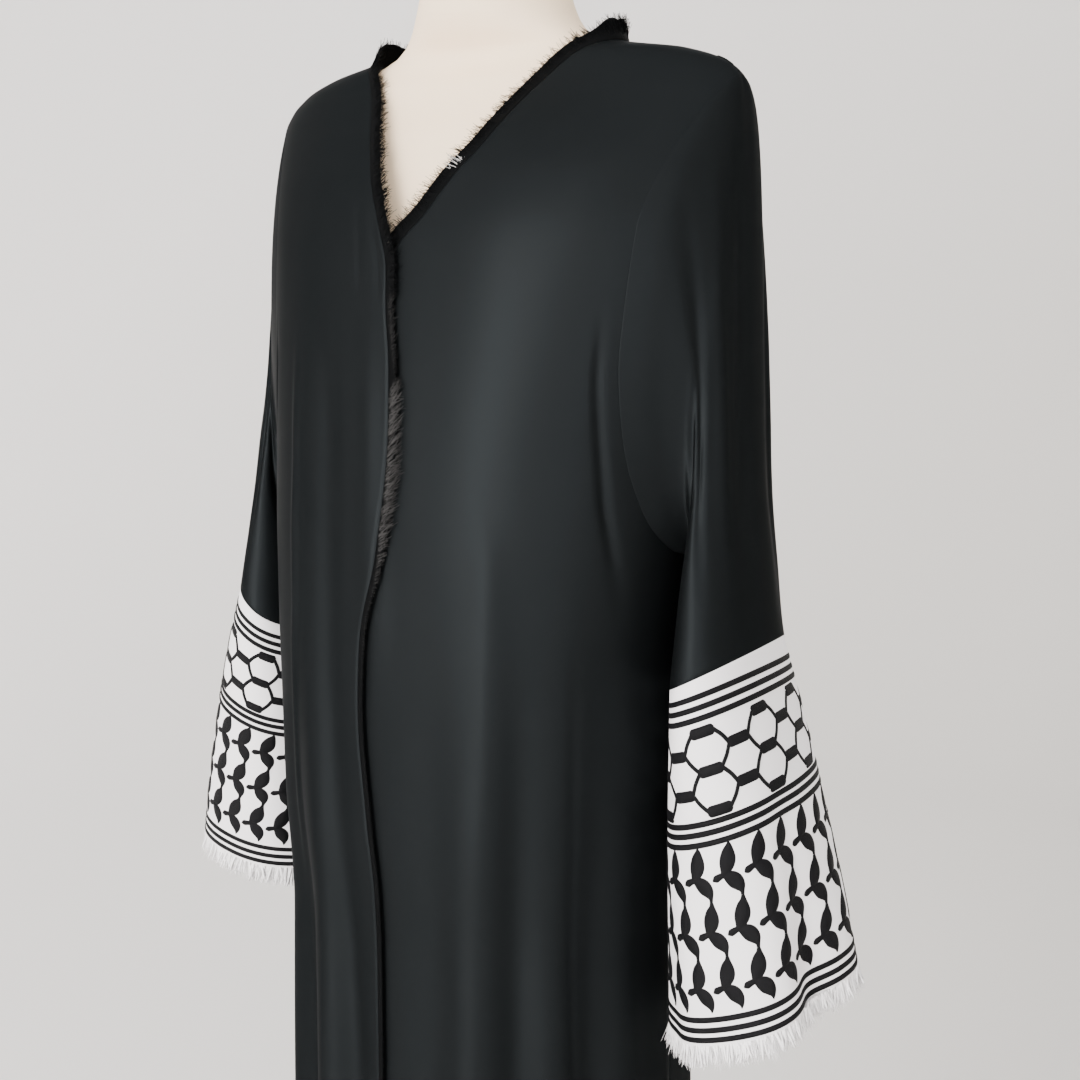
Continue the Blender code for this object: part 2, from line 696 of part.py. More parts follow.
def fringe(name, stations, length, thickness, colour, closed):
    """A narrow strip with strands that stand out from its free edge.

    Each station has the place on the cloth's edge, the way the strands point, the outward normal and the
    strip's width. A station with a strand carries it between itself and the next station.
    """
    points = []
    faces = []
    count = len(stations)
    spans = count if closed else count - 1
    for station in stations:
        near = station.root + SEAM_GAP * station.across
        far = near + station.width * station.across
        points += [near, far, far - thickness * station.normal, near - thickness * station.normal]
    for i in range(spans):
        a = 4 * i
        b = 4 * ((i + 1) % count)
        for k in (0, 2, 3):
            faces.append((a + k, b + k, b + (k + 1) % 4, a + (k + 1) % 4))
        root = [a + 1, b + 1, b + 2, a + 2]
        if not stations[i].has_strand:
            faces.append(tuple(root))
            continue
        centre = sum(points[k] for k in root) / 4
        out = stations[i].across + stations[(i + 1) % count].across
        tip_centre = centre + length * out / np.linalg.norm(out)
        tip = list(range(len(points), len(points) + 4))
        points += [tip_centre + STRAND_TAPER * (points[k] - centre) for k in root]
        for k in range(4):
            faces.append((root[k], root[(k + 1) % 4], tip[(k + 1) % 4], tip[k]))
        faces.append(tuple(tip))
    if not closed:
        end = 4 * (count - 1)
        faces.append((0, 1, 2, 3))
        faces.append((end + 3, end + 2, end + 1, end))
    return solid(name, points, faces, colour)


def cuff_fringe(name, side, rings, all_normals):
    """The white fringe below a cuff, with its strands spread evenly round the hem."""
    hem = rings[CUFF_HEM_RING]
    above = rings[CUFF_HEM_RING - 1]
    normals = all_normals[CUFF_HEM_RING]
    columns = len(hem)
    stations = []
    for k in range(2 * CUFF_STRANDS):
        at = k * columns / (2 * CUFF_STRANDS)
        j = int(at)
        share = at - j
        n = (j + 1) % columns
        root = (1 - share) * hem[j] + share * hem[n]
        across = (1 - share) * (hem[j] - above[j]) + share * (hem[n] - above[n])
        across = across / np.linalg.norm(across)
        normal = (1 - share) * normals[j] + share * normals[n]
        normal = normal / np.linalg.norm(normal)
        flip = np.array([side, 1, 1])
        stations.append(Station(root * flip, across * flip, normal * flip, CUFF_FRINGE_STRIP, k % 2 == 0))
    return fringe(name, stations, CUFF_FRINGE_LENGTH, CUFF_WALL, "white_cloth", closed=True)


def edge_rows(grids):
    """The places and normals along the front and neck edge, from the right hem round to the left front."""
    right = [(row[0], 1) for row in grids["front_right"]]
    back_neck = grids["back"][-1][SHOULDER_COLUMNS + 1 : -SHOULDER_COLUMNS - 1]
    neck = [(place, 0) for place in reversed(back_neck)]
    left = [(row[0], -1) for row in reversed(grids["front_left"]) if row[0][1] > LEFT_TRIM_BOTTOM]
    rows = [(cloth_point(*p, layer), cloth_normal(*p, layer)) for p, layer in right + neck + left]
    return rows, len(right), len(neck)


def edge_trims(grids):
    """The frayed trim along the right front, the back neck and the left neckline."""
    rows, right_count, neck_count = edge_rows(grids)
    edge = []
    for i, (place, normal) in enumerate(rows):
        along = rows[min(i + 1, len(rows) - 1)][0] - rows[max(i - 1, 0)][0]
        along /= np.linalg.norm(along)
        across = np.cross(along, normal)
        across += COLLAR_STAND * collar_share(place) * np.cross(across, along)
        across /= np.linalg.norm(across)
        edge.append((place, across, np.cross(across, along)))
    neck_end = right_count + neck_count
    trim_strip("trim_right", edge[:right_count])
    trim_strip("trim_back_neck", edge[right_count - 1 : neck_end + 1])
    trim_strip("trim_left", edge[neck_end:])


def collar_share(place):
    """How much the trim stands up as a collar: not at all on the fronts, and fully behind the neck."""
    return ease((place[1] + COLLAR_START) / COLLAR_START) * ease((place[2] - COLLAR_BOTTOM) / COLLAR_RISE)


def trim_strip(name, edge):
    """One stretch of the trim, with a strand at each pitch along it."""
    stations = []
    strand_width = STRAND_SHARE * TRIM_STRAND_PITCH
    for i, (start, end) in enumerate(zip(edge, edge[1:])):
        length = np.linalg.norm(end[0] - start[0])
        strands = max(1, round(length / TRIM_STRAND_PITCH))
        half_strand = strand_width / 2 / length
        half_gap = SEAM_GAP / 2 / length
        shares = [(half_gap if i == 0 else 0.0, False)]
        for k in range(strands):
            middle = (k + 0.5) / strands
            shares += [(middle - half_strand, True), (middle + half_strand, False)]
        if i == len(edge) - 2:
            shares.append((1 - half_gap, False))
        for share, has_strand in shares:
            root, across, normal = [(1 - share) * a + share * b for a, b in zip(start, end)]
            across /= np.linalg.norm(across)
            normal /= np.linalg.norm(normal)
            width = TRIM_STRIP_WIDTH + (COLLAR_STRIP_WIDTH - TRIM_STRIP_WIDTH) * collar_share(root)
            stations.append(Station(root, across, normal, width, has_strand))
    return fringe(name, stations, TRIM_FRINGE_LENGTH, TRIM_WALL, "black_cloth", closed=False)


def form_torso():
    """The limbless torso with its neck, closed at the top and the bottom."""
    angles = [-180 + 360 * j / FORM_COLUMNS for j in range(FORM_COLUMNS)]
    rings = [[ring_point(FORM_SECTIONS, angle, row.height) for angle in angles] for row in FORM_SECTIONS]
    points = [p for ring in rings for p in ring]
    faces = []
    for i in range(len(rings) - 1):
        for j in range(FORM_COLUMNS):
            n = (j + 1) % FORM_COLUMNS
            low = i * FORM_COLUMNS
            high = low + FORM_COLUMNS
            faces.append((low + j, low + n, high + n, high + j))
    faces.append(tuple(range(FORM_COLUMNS)))
    faces.append(tuple(range(len(points) - FORM_COLUMNS, len(points))))
    return solid("form_torso", points, faces, "cream_canvas")


def cylinder(name, radius, bottom, top, sides, rounding):
    """A piece of the stand round the upright axis, with its two edges rounded off."""
    bpy.ops.mesh.primitive_cylinder_add(
        vertices=sides, radius=radius, depth=top - bottom, location=(0, 0, (top + bottom) / 2)
    )
    obj = bpy.context.object
    obj.name = name
    for holder in list(obj.users_collection):
        holder.objects.unlink(obj)
    PARTS.objects.link(obj)
    if rounding:
        edge = obj.modifiers.new("rounded_edge", "BEVEL")
        edge.width = rounding
        edge.segments = 2
        edge.limit_method = "ANGLE"
    obj.data.materials.append(material("painted_steel"))
    return obj


for old in list(bpy.data.objects):
    bpy.data.objects.remove(old)
PARTS = bpy.data.collections.new("abaya_on_dress_form")
bpy.context.scene.collection.children.link(PARTS)

PANEL_GRIDS = {
    "front_right": front_panel_grid(RIGHT_FRONT_EDGE, -1, even(FRONT_COLUMNS)),
    "front_left": front_panel_grid(LEFT_FRONT_EDGE, 1, even(FRONT_COLUMNS)),
    "back": back_panel_grid(even(BACK_COLUMNS)),
}
cloth_panel("front_right", PANEL_GRIDS["front_right"], 1)
cloth_panel("front_left", PANEL_GRIDS["front_left"], -1)
cloth_panel("back", PANEL_GRIDS["back"], 0)
for side_name, side_sign in (("left", 1), ("right", -1)):
    sleeve_rings = sleeve_grid(range(CUFF_HEM_RING + 1), side_sign)
    sleeve_normals = ring_normals(sleeve_rings)
    sleeve("sleeve_" + side_name, side_sign, sleeve_rings, sleeve_normals)
    cuff("cuff_" + side_name, side_sign, sleeve_rings, sleeve_normals)
    cuff_fringe("cuff_fringe_" + side_name, side_sign, sleeve_rings, sleeve_normals)
edge_trims(PANEL_GRIDS)
form_torso()
cylinder("stand_pole", POLE_RADIUS, BASE_THICKNESS + FIT_GAP, TORSO_BOTTOM - FIT_GAP, POLE_SIDES, 0)
cylinder("stand_base", BASE_RADIUS, 0, BASE_THICKNESS, BASE_SIDES, BASE_ROUNDING)
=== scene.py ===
"""The looks of an open-front abaya on a limbless dress form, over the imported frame.

Metres, +Z up, the front faces -Y and the garment's left is +X. The body of the garment is given by an angle
round it and a height: 0 degrees is the left side, -90 the centre front, 90 the centre back, 180 the right.
"""

import json
import math
from collections import namedtuple

import bpy
import numpy as np
from mathutils import Matrix, Vector

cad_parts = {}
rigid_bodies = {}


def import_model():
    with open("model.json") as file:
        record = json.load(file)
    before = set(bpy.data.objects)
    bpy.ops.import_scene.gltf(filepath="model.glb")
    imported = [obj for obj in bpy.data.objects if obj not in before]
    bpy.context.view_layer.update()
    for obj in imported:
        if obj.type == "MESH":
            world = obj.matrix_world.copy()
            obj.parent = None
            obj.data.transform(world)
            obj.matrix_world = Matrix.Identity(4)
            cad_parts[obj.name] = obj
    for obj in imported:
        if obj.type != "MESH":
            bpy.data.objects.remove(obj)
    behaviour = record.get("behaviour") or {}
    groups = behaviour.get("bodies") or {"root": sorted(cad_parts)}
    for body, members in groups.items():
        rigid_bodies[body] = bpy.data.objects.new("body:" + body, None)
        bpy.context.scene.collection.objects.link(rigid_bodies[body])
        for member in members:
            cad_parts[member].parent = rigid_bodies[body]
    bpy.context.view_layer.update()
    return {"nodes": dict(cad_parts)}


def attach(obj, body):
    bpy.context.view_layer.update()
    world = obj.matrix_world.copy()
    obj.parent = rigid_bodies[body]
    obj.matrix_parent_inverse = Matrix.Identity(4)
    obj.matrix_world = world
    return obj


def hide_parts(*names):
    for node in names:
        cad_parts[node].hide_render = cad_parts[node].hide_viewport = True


# Walls, seams and layers
CLOTH_WALL = 0.0015
CUFF_WALL = 0.0018
SEAM_GAP = 0.0003
LAYER_STEP = 0.0042
OVERLAP_MIDDLE = -0.020
OVERLAP_HALF_WIDTH = 0.045
OVERLAP_FADE = 0.055
OVERLAP_TOP = 1.320
OVERLAP_TOP_FADE = 0.060

# Heights of the garment
HEM_HEIGHT = 0.045
UNDERARM_HEIGHT = 1.080
SHOULDER_TIP_HEIGHT = 1.406
NECK_POINT_HEIGHT = 1.434
BACK_NECK_HEIGHT = 1.437

# How much of the back's top edge each shoulder seam takes
SHOULDER_SHARE = 5 / 34

# The seed of the random draws, and the sign of x on each side
SEED = 7
SIDES = {"left": 1, "right": -1}

# How finely the cloth is divided
FRONT_COLUMNS = 96
BACK_COLUMNS = 176
SKIRT_ROW_COUNT = 130
YOKE_ROW_COUNT = 72
SLEEVE_STATIONS = 132
SLEEVE_ROWS = 110
CUFF_ROWS = 90
FORM_COLUMNS = 96
FORM_ROWS = 150

# Ring sizes of the cloth round the body, from the hem up
Section = namedtuple("Section", "height half_width front_depth back_depth squareness")
BODY_SECTIONS = [
    Section(0.045, 0.205, 0.172, 0.165, 2.20),
    Section(0.350, 0.178, 0.158, 0.130, 2.25),
    Section(0.620, 0.151, 0.145, 0.100, 2.35),
    Section(0.800, 0.149, 0.143, 0.098, 2.40),
    Section(0.900, 0.157, 0.148, 0.101, 2.40),
    Section(1.000, 0.163, 0.149, 0.103, 2.40),
    Section(1.080, 0.170, 0.146, 0.107, 2.35),
    Section(1.160, 0.177, 0.139, 0.110, 2.30),
    Section(1.240, 0.186, 0.127, 0.110, 2.30),
    Section(1.300, 0.193, 0.114, 0.107, 2.30),
    Section(1.340, 0.198, 0.098, 0.100, 2.25),
    Section(1.370, 0.201, 0.079, 0.091, 2.15),
    Section(1.390, 0.200, 0.063, 0.082, 2.10),
    Section(1.403, 0.195, 0.053, 0.075, 2.05),
    Section(1.414, 0.184, 0.046, 0.072, 2.00),
    Section(1.425, 0.155, 0.041, 0.071, 2.00),
    Section(1.434, 0.106, 0.038, 0.071, 2.00),
    Section(1.443, 0.086, 0.036, 0.070, 2.00),
]

# How much narrower the garment hangs on its right side, as a share of the half width
Narrowing = namedtuple("Narrowing", "height share")
RIGHT_NARROWING = [
    Narrowing(0.045, 0.000),
    Narrowing(0.620, 0.033),
    Narrowing(0.800, 0.030),
    Narrowing(1.080, 0.024),
    Narrowing(1.160, 0.034),
    Narrowing(1.240, 0.045),
    Narrowing(1.300, 0.049),
    Narrowing(1.340, 0.045),
    Narrowing(1.370, 0.035),
    Narrowing(1.390, 0.030),
    Narrowing(1.403, 0.032),
    Narrowing(1.414, 0.040),
    Narrowing(1.425, 0.040),
    Narrowing(1.434, 0.000),
]

# Folds that hang from the bust, the shoulder blades and the sides: a ridge has a positive height
Fold = namedtuple("Fold", "angle_at_top angle_at_hem top height_at_middle height_at_hem half_width")
BODY_FOLDS = [
    Fold(-70, -69, 1.16, 0.0070, 0.020, 9),
    Fold(-56, -54, 1.10, -0.0060, -0.018, 8),
    Fold(-45, -40, 1.12, 0.0050, 0.020, 10),
    Fold(-33, -26, 1.08, -0.0050, -0.018, 9),
    Fold(-22, -12, 1.06, 0.0040, 0.020, 10),
    Fold(-96, -97, 1.10, -0.0030, -0.010, 8),
    Fold(-109, -111, 1.18, 0.0060, 0.018, 9),
    Fold(-123, -126, 1.10, -0.0070, -0.020, 9),
    Fold(-139, -141, 1.12, 0.0085, 0.020, 10),
    Fold(-156, -156, 1.02, -0.0030, -0.018, 9),
    Fold(-172, -171, 0.90, 0.0010, 0.020, 9),
    Fold(4, 6, 0.90, -0.0010, -0.018, 9),
    Fold(22, 23, 1.02, 0.0040, 0.020, 10),
    Fold(40, 41, 1.10, -0.0050, -0.020, 10),
    Fold(58, 59, 1.20, 0.0060, 0.022, 10),
    Fold(76, 76, 1.15, -0.0050, -0.018, 9),
    Fold(93, 93, 1.12, 0.0045, 0.020, 10),
    Fold(110, 111, 1.15, -0.0055, -0.020, 10),
    Fold(126, 128, 1.20, 0.0060, 0.022, 10),
    Fold(143, 145, 1.10, -0.0050, -0.018, 9),
    Fold(160, 162, 1.00, 0.0035, 0.020, 9),
]
FOLD_MIDDLE_HEIGHT = 0.65
FOLD_SHARPNESS = 2.2

# Front edges, from the hem up to the point where neck and shoulder meet
EdgePoint = namedtuple("EdgePoint", "height across")
RIGHT_FRONT_EDGE = [
    EdgePoint(0.045, -0.018),
    EdgePoint(0.400, -0.014),
    EdgePoint(0.713, -0.009),
    EdgePoint(0.843, -0.009),
    EdgePoint(0.900, -0.013),
    EdgePoint(0.970, -0.018),
    EdgePoint(1.027, -0.015),
    EdgePoint(1.083, -0.002),
    EdgePoint(1.157, 0.004),
    EdgePoint(1.212, 0.000),
    EdgePoint(1.250, -0.007),
    EdgePoint(1.283, -0.012),
    EdgePoint(1.300, -0.0195),
    EdgePoint(1.318, -0.029),
    EdgePoint(1.336, -0.039),
    EdgePoint(1.356, -0.050),
    EdgePoint(1.372, -0.060),
    EdgePoint(1.390, -0.071),
    EdgePoint(1.409, -0.083),
    EdgePoint(1.424, -0.094),
    EdgePoint(1.434, -0.106),
]
LEFT_FRONT_EDGE = [
    EdgePoint(0.045, -0.064),
    EdgePoint(0.400, -0.060),
    EdgePoint(0.713, -0.056),
    EdgePoint(0.900, -0.055),
    EdgePoint(1.027, -0.052),
    EdgePoint(1.120, -0.047),
    EdgePoint(1.200, -0.040),
    EdgePoint(1.250, -0.029),
    EdgePoint(1.285, -0.013),
    EdgePoint(1.300, -0.001),
    EdgePoint(1.312, 0.0105),
    EdgePoint(1.325, 0.0190),
    EdgePoint(1.342, 0.0300),
    EdgePoint(1.356, 0.0410),
    EdgePoint(1.372, 0.0500),
    EdgePoint(1.390, 0.0595),
    EdgePoint(1.406, 0.0710),
    EdgePoint(1.422, 0.0860),
    EdgePoint(1.434, 0.106),
]

# The armhole, as the angle from the side seam at each height
ArmholePoint = namedtuple("ArmholePoint", "height front back")
ARMHOLE = [
    ArmholePoint(1.080, 0.0, 0.0),
    ArmholePoint(1.088, 12.0, 12.0),
    ArmholePoint(1.115, 24.0, 24.0),
    ArmholePoint(1.165, 33.0, 32.0),
    ArmholePoint(1.230, 37.5, 36.0),
    ArmholePoint(1.300, 38.0, 36.0),
    ArmholePoint(1.350, 33.0, 32.0),
    ArmholePoint(1.382, 25.0, 24.0),
    ArmholePoint(1.399, 14.0, 14.0),
    ArmholePoint(1.406, 0.0, 0.0),
]

# Rings of the left sleeve and cuff, from the armhole (0) down. The outer and inner points are the far
# ends of a ring across the sleeve.
Ring = namedtuple("Ring", "number outer_x outer_z inner_x inner_z half_depth centre_y armhole_share")
SLEEVE_RINGS = [
    Ring(0, 0.2000, 1.402, 0.1870, 1.080, 0.0560, 0.004, 1.00),
    Ring(1, 0.2015, 1.380, 0.1865, 1.079, 0.0555, 0.005, 0.72),
    Ring(2, 0.2015, 1.345, 0.1850, 1.077, 0.0540, 0.006, 0.45),
    Ring(3, 0.2010, 1.300, 0.1830, 1.073, 0.0535, 0.006, 0.20),
    Ring(4, 0.2020, 1.250, 0.1800, 1.066, 0.0550, 0.004, 0.06),
    Ring(5, 0.2045, 1.195, 0.1765, 1.054, 0.0575, 0.001, 0.00),
    Ring(6, 0.2090, 1.140, 0.1735, 1.037, 0.0605, -0.003, 0.00),
    Ring(7, 0.2160, 1.085, 0.1710, 1.015, 0.0635, -0.006, 0.00),
    Ring(8, 0.2240, 1.029, 0.1690, 0.990, 0.0660, -0.009, 0.00),
    Ring(9, 0.2385, 0.984, 0.1670, 0.948, 0.0680, -0.009, 0.00),
    Ring(10, 0.2525, 0.939, 0.1650, 0.905, 0.0695, -0.008, 0.00),
    Ring(11, 0.2650, 0.894, 0.1635, 0.862, 0.0705, -0.007, 0.00),
    Ring(12, 0.2760, 0.850, 0.1630, 0.819, 0.0715, -0.006, 0.00),
    Ring(13, 0.2850, 0.8055, 0.1630, 0.776, 0.0720, -0.005, 0.00),
]
SLEEVE_SQUARENESS = 2.2

# How far the hem of each sleeve hangs below its place in the table, its front below its middle, how far the
# sleeve hangs closer in, and how far its inner side is higher at the cuff seam and lower at the hem
Hang = namedtuple("Hang", "drop front_drop inward seam_rise hem_drop")
SLEEVE_HANGS = {1: Hang(0.008, 0.014, 0.000, 0.010, 0.010), -1: Hang(-0.028, 0.002, 0.009, -0.008, 0.000)}
SEAM_RISE_START_RING = 4
CUFF_SEAM_RING = 8
CUFF_HEM_RING = 13
HALF_STATIONS = 11

# Steps for measuring which way the surfaces face, in degrees and metres on the body and in stations and ring
# numbers on a sleeve
PLAIN_TURN_STEP = 0.5
TURN_STEP = 0.3
HEIGHT_STEP = 0.0008
STATION_STEP = 0.05
NUMBER_STEP = 0.02

# How far the body's middle axis lies behind the frame's
BODY_AXIS_DEPTH = 0.01

# Soft creases. Each is a line of (angle, height, rise, half width) on the body, or of (station, ring number,
# rise, half width) on a sleeve. A scale is the metres that one of each first two values spans.
BODY_CREASE_SCALE = (0.0028, 1.0)
BODY_CREASES = [
    [
        (-120.5, 1.24, 0.0, 0.006),
        (-118.0, 1.15, 0.0022, 0.007),
        (-117.0, 1.04, 0.0028, 0.008),
        (-124.0, 0.92, 0.0022, 0.008),
        (-128.0, 0.80, 0.0, 0.009),
    ],
    [
        (-107.0, 1.26, 0.0, 0.012),
        (-104.0, 1.15, -0.0030, 0.016),
        (-102.5, 1.05, -0.0030, 0.016),
        (-102.0, 0.91, -0.0035, 0.016),
        (-100.5, 0.70, -0.0060, 0.018),
        (-101.0, 0.30, -0.0040, 0.020),
    ],
    [
        (-95.0, 1.27, 0.0, 0.009),
        (-92.5, 1.16, 0.0016, 0.009),
        (-91.0, 1.05, 0.0016, 0.009),
        (-91.0, 0.94, 0.0, 0.009),
    ],
    [
        (-97.2, 1.34, 0.0, 0.003),
        (-97.2, 1.315, -0.0008, 0.003),
        (-93.8, 1.28, -0.0008, 0.003),
        (-93.0, 1.25, 0.0, 0.003),
    ],
    [
        (-101.0, 1.34, 0.0, 0.003),
        (-100.8, 1.315, -0.0008, 0.003),
        (-98.5, 1.28, -0.0008, 0.003),
        (-98.0, 1.25, 0.0, 0.003),
    ],
    [
        (-66.0, 1.12, 0.0, 0.014),
        (-64.0, 1.05, 0.0022, 0.019),
        (-62.8, 0.96, 0.0040, 0.023),
        (-62.4, 0.85, 0.0048, 0.026),
        (-62.4, 0.70, 0.0052, 0.028),
        (-62.8, 0.45, 0.0040, 0.028),
        (-63.5, 0.20, 0.0, 0.028),
    ],
    [
        (-41.2, 1.04, 0.0, 0.006),
        (-39.5, 0.92, -0.0012, 0.006),
        (-37.0, 0.70, -0.0016, 0.007),
        (-36.0, 0.40, 0.0, 0.008),
    ],
    [
        (-44.0, 1.26, 0.0, 0.006),
        (-42.0, 1.20, -0.0018, 0.006),
        (-36.0, 1.12, -0.0026, 0.007),
        (-27.0, 1.04, 0.0, 0.008),
    ],
    [
        (-137.0, 1.25, 0.0, 0.006),
        (-139.0, 1.19, -0.0020, 0.006),
        (-146.0, 1.11, -0.0028, 0.007),
        (-156.0, 1.03, 0.0, 0.008),
    ],
    [
        (44.0, 1.25, 0.0, 0.006),
        (42.0, 1.18, -0.0022, 0.007),
        (34.0, 1.10, -0.0030, 0.008),
        (26.0, 1.03, 0.0, 0.009),
    ],
    [
        (136.0, 1.24, 0.0, 0.006),
        (138.0, 1.18, -0.0024, 0.007),
        (147.0, 1.10, -0.0028, 0.008),
        (154.0, 1.02, 0.0, 0.009),
    ],
    [
        (63.0, 1.22, 0.0, 0.010),
        (60.0, 1.02, -0.0026, 0.012),
        (58.0, 0.74, -0.0042, 0.014),
        (58.0, 0.30, 0.0, 0.014),
    ],
    [
        (84.0, 1.26, 0.0, 0.009),
        (86.0, 1.04, 0.0028, 0.010),
        (87.0, 0.78, 0.0050, 0.011),
        (87.0, 0.30, 0.0, 0.013),
    ],
    [
        (105.0, 1.18, 0.0, 0.010),
        (103.0, 0.98, -0.0034, 0.012),
        (102.0, 0.70, -0.0042, 0.014),
        (101.0, 0.28, 0.0, 0.014),
    ],
    [
        (132.0, 1.14, 0.0, 0.008),
        (133.0, 0.96, 0.0022, 0.009),
        (135.0, 0.76, 0.0038, 0.010),
        (135.0, 0.36, 0.0, 0.012),
    ],
]
SLEEVE_CREASE_SCALE = (0.0155, 0.047)
SLEEVE_CREASES = {
    1: [
        [(9.65, 9.4, 0.0, 0.017), (9.65, 10.8, -0.004, 0.018), (9.75, 13.0, -0.012, 0.020)],
        [(11.6, 10.0, 0.0, 0.018), (11.5, 13.0, 0.004, 0.018)],
        [(7.6, 10.4, 0.0, 0.022), (7.6, 13.0, 0.003, 0.024)],
        [(14.6, 9.4, 0.0, 0.020), (14.4, 13.0, -0.010, 0.022)],
        [(17.2, 9.8, 0.0, 0.024), (17.3, 13.0, 0.005, 0.026)],
        [(19.8, 10.0, 0.0, 0.020), (19.9, 13.0, -0.007, 0.022)],
        [(3.0, 10.0, 0.0, 0.022), (3.0, 13.0, -0.004, 0.022)],
        [
            (8.9, 1.2, 0.0, 0.013),
            (8.4, 3.6, 0.0025, 0.013),
            (8.7, 5.4, 0.0030, 0.014),
            (8.9, 8.0, 0.0, 0.013),
        ],
        [
            (7.6, 1.2, 0.0, 0.010),
            (6.9, 3.2, -0.0022, 0.011),
            (6.5, 4.9, -0.0028, 0.012),
            (7.1, 7.6, 0.0, 0.012),
        ],
        [
            (10.2, 1.6, 0.0, 0.011),
            (10.3, 3.6, -0.0020, 0.012),
            (10.4, 5.6, -0.0020, 0.012),
            (10.2, 7.6, 0.0, 0.012),
        ],
        [
            (6.2, 3.2, 0.0, 0.014),
            (5.0, 4.0, -0.0028, 0.016),
            (3.8, 4.6, -0.0028, 0.018),
            (2.8, 5.0, 0.0, 0.018),
        ],
        [
            (13.2, 1.4, 0.0, 0.012),
            (13.5, 3.4, -0.0030, 0.012),
            (13.2, 6.2, -0.0022, 0.013),
            (13.3, 8.0, 0.0, 0.013),
        ],
        [
            (15.4, 4.2, 0.0, 0.014),
            (16.8, 4.9, -0.0028, 0.016),
            (18.2, 5.6, -0.0028, 0.018),
            (19.2, 6.0, 0.0, 0.018),
        ],
    ],
    -1: [
        [(8.8, 9.8, 0.0, 0.020), (8.7, 13.0, -0.004, 0.022)],
        [(12.9, 9.4, 0.0, 0.018), (13.0, 13.0, -0.010, 0.020)],
        [(15.6, 9.8, 0.0, 0.022), (15.8, 13.0, 0.005, 0.024)],
        [(18.4, 9.6, 0.0, 0.020), (18.6, 13.0, -0.008, 0.022)],
        [
            (8.2, 1.2, 0.0, 0.013),
            (8.6, 3.4, 0.0025, 0.013),
            (8.4, 5.6, 0.0028, 0.014),
            (8.6, 7.8, 0.0, 0.013),
        ],
        [
            (6.6, 1.4, 0.0, 0.010),
            (6.3, 3.6, -0.0024, 0.011),
            (6.5, 5.6, -0.0022, 0.012),
            (6.7, 7.6, 0.0, 0.012),
        ],
        [
            (6.0, 3.4, 0.0, 0.014),
            (4.8, 4.3, -0.0030, 0.016),
            (3.6, 5.0, -0.0026, 0.018),
            (2.6, 5.4, 0.0, 0.018),
        ],
        [
            (13.6, 1.4, 0.0, 0.012),
            (13.8, 3.6, -0.0030, 0.012),
            (13.5, 6.0, -0.0020, 0.013),
            (13.6, 8.0, 0.0, 0.013),
        ],
        [
            (15.8, 3.6, 0.0, 0.014),
            (17.0, 4.4, -0.0030, 0.016),
            (18.4, 5.2, -0.0026, 0.018),
            (19.4, 5.6, 0.0, 0.018),
        ],
    ],
}

# The dress form, from its underside up to the neck
FORM_SECTIONS = [
    Section(0.735, 0.128, 0.098, 0.084, 2.0),
    Section(0.760, 0.133, 0.102, 0.088, 2.0),
    Section(0.850, 0.137, 0.106, 0.092, 2.0),
    Section(0.930, 0.134, 0.101, 0.090, 2.0),
    Section(1.020, 0.121, 0.092, 0.080, 2.0),
    Section(1.080, 0.124, 0.100, 0.083, 2.0),
    Section(1.130, 0.136, 0.118, 0.090, 2.0),
    Section(1.180, 0.148, 0.124, 0.096, 2.0),
    Section(1.240, 0.158, 0.114, 0.101, 2.0),
    Section(1.300, 0.169, 0.097, 0.099, 2.0),
    Section(1.345, 0.181, 0.079, 0.0910, 2.0),
    Section(1.370, 0.187, 0.066, 0.0835, 2.0),
    Section(1.388, 0.1858, 0.0540, 0.0755, 2.0),
    Section(1.401, 0.1840, 0.0470, 0.0705, 2.0),
    Section(1.4115, 0.1705, 0.0425, 0.0680, 2.0),
    Section(1.4225, 0.1400, 0.0360, 0.0655, 2.0),
    Section(1.4300, 0.1000, 0.0355, 0.0630, 2.0),
    Section(1.442, 0.0740, 0.0470, 0.0610, 2.0),
    Section(1.458, 0.0610, 0.0560, 0.0530, 2.0),
    Section(1.480, 0.0545, 0.0570, 0.0480, 2.0),
    Section(1.530, 0.0530, 0.0560, 0.0465, 2.0),
]


def smooth_step(t, span, start, end, start_slope, end_slope):
    """A smooth curve between two values with given slopes, at a share of the way."""
    low = (1 + 2 * t) * (1 - t) ** 2 * start + t * (1 - t) ** 2 * span * start_slope
    high = t * t * (3 - 2 * t) * end + t * t * (t - 1) * span * end_slope
    return low + high


class Profile:
    """A column of a table at any value of its first column, on a smooth curve through its rows."""

    def __init__(self, rows, column):
        self.at_rows = np.array([row[0] for row in rows], float)
        self.values = np.array([getattr(row, column) for row in rows], float)
        rise = np.diff(self.values) / np.diff(self.at_rows)
        before, after = rise[:-1], rise[1:]
        same_way = before * after > 0
        total = np.where(same_way, before + after, 1.0)
        middle = np.where(same_way, 2 * before * after / total, 0.0)
        self.slopes = np.concatenate([rise[:1], middle, rise[-1:]])

    def __call__(self, at):
        at = np.clip(at, self.at_rows[0], self.at_rows[-1])
        i = np.clip(np.searchsorted(self.at_rows, at) - 1, 0, len(self.at_rows) - 2)
        span = self.at_rows[i + 1] - self.at_rows[i]
        t = (at - self.at_rows[i]) / span
        return smooth_step(t, span, self.values[i], self.values[i + 1], self.slopes[i], self.slopes[i + 1])


def profiles(rows, columns):
    """The named columns of a table as profiles."""
    return {column: Profile(rows, column) for column in columns.split()}


SECTION_COLUMNS = "half_width front_depth back_depth squareness"
BODY = profiles(BODY_SECTIONS, SECTION_COLUMNS)
FORM = profiles(FORM_SECTIONS, SECTION_COLUMNS)
NARROWING = Profile(RIGHT_NARROWING, "share")
ARMHOLE_TURN = profiles(ARMHOLE, "front back")
SLEEVE = profiles(SLEEVE_RINGS, "outer_x outer_z inner_x inner_z half_depth centre_y armhole_share")


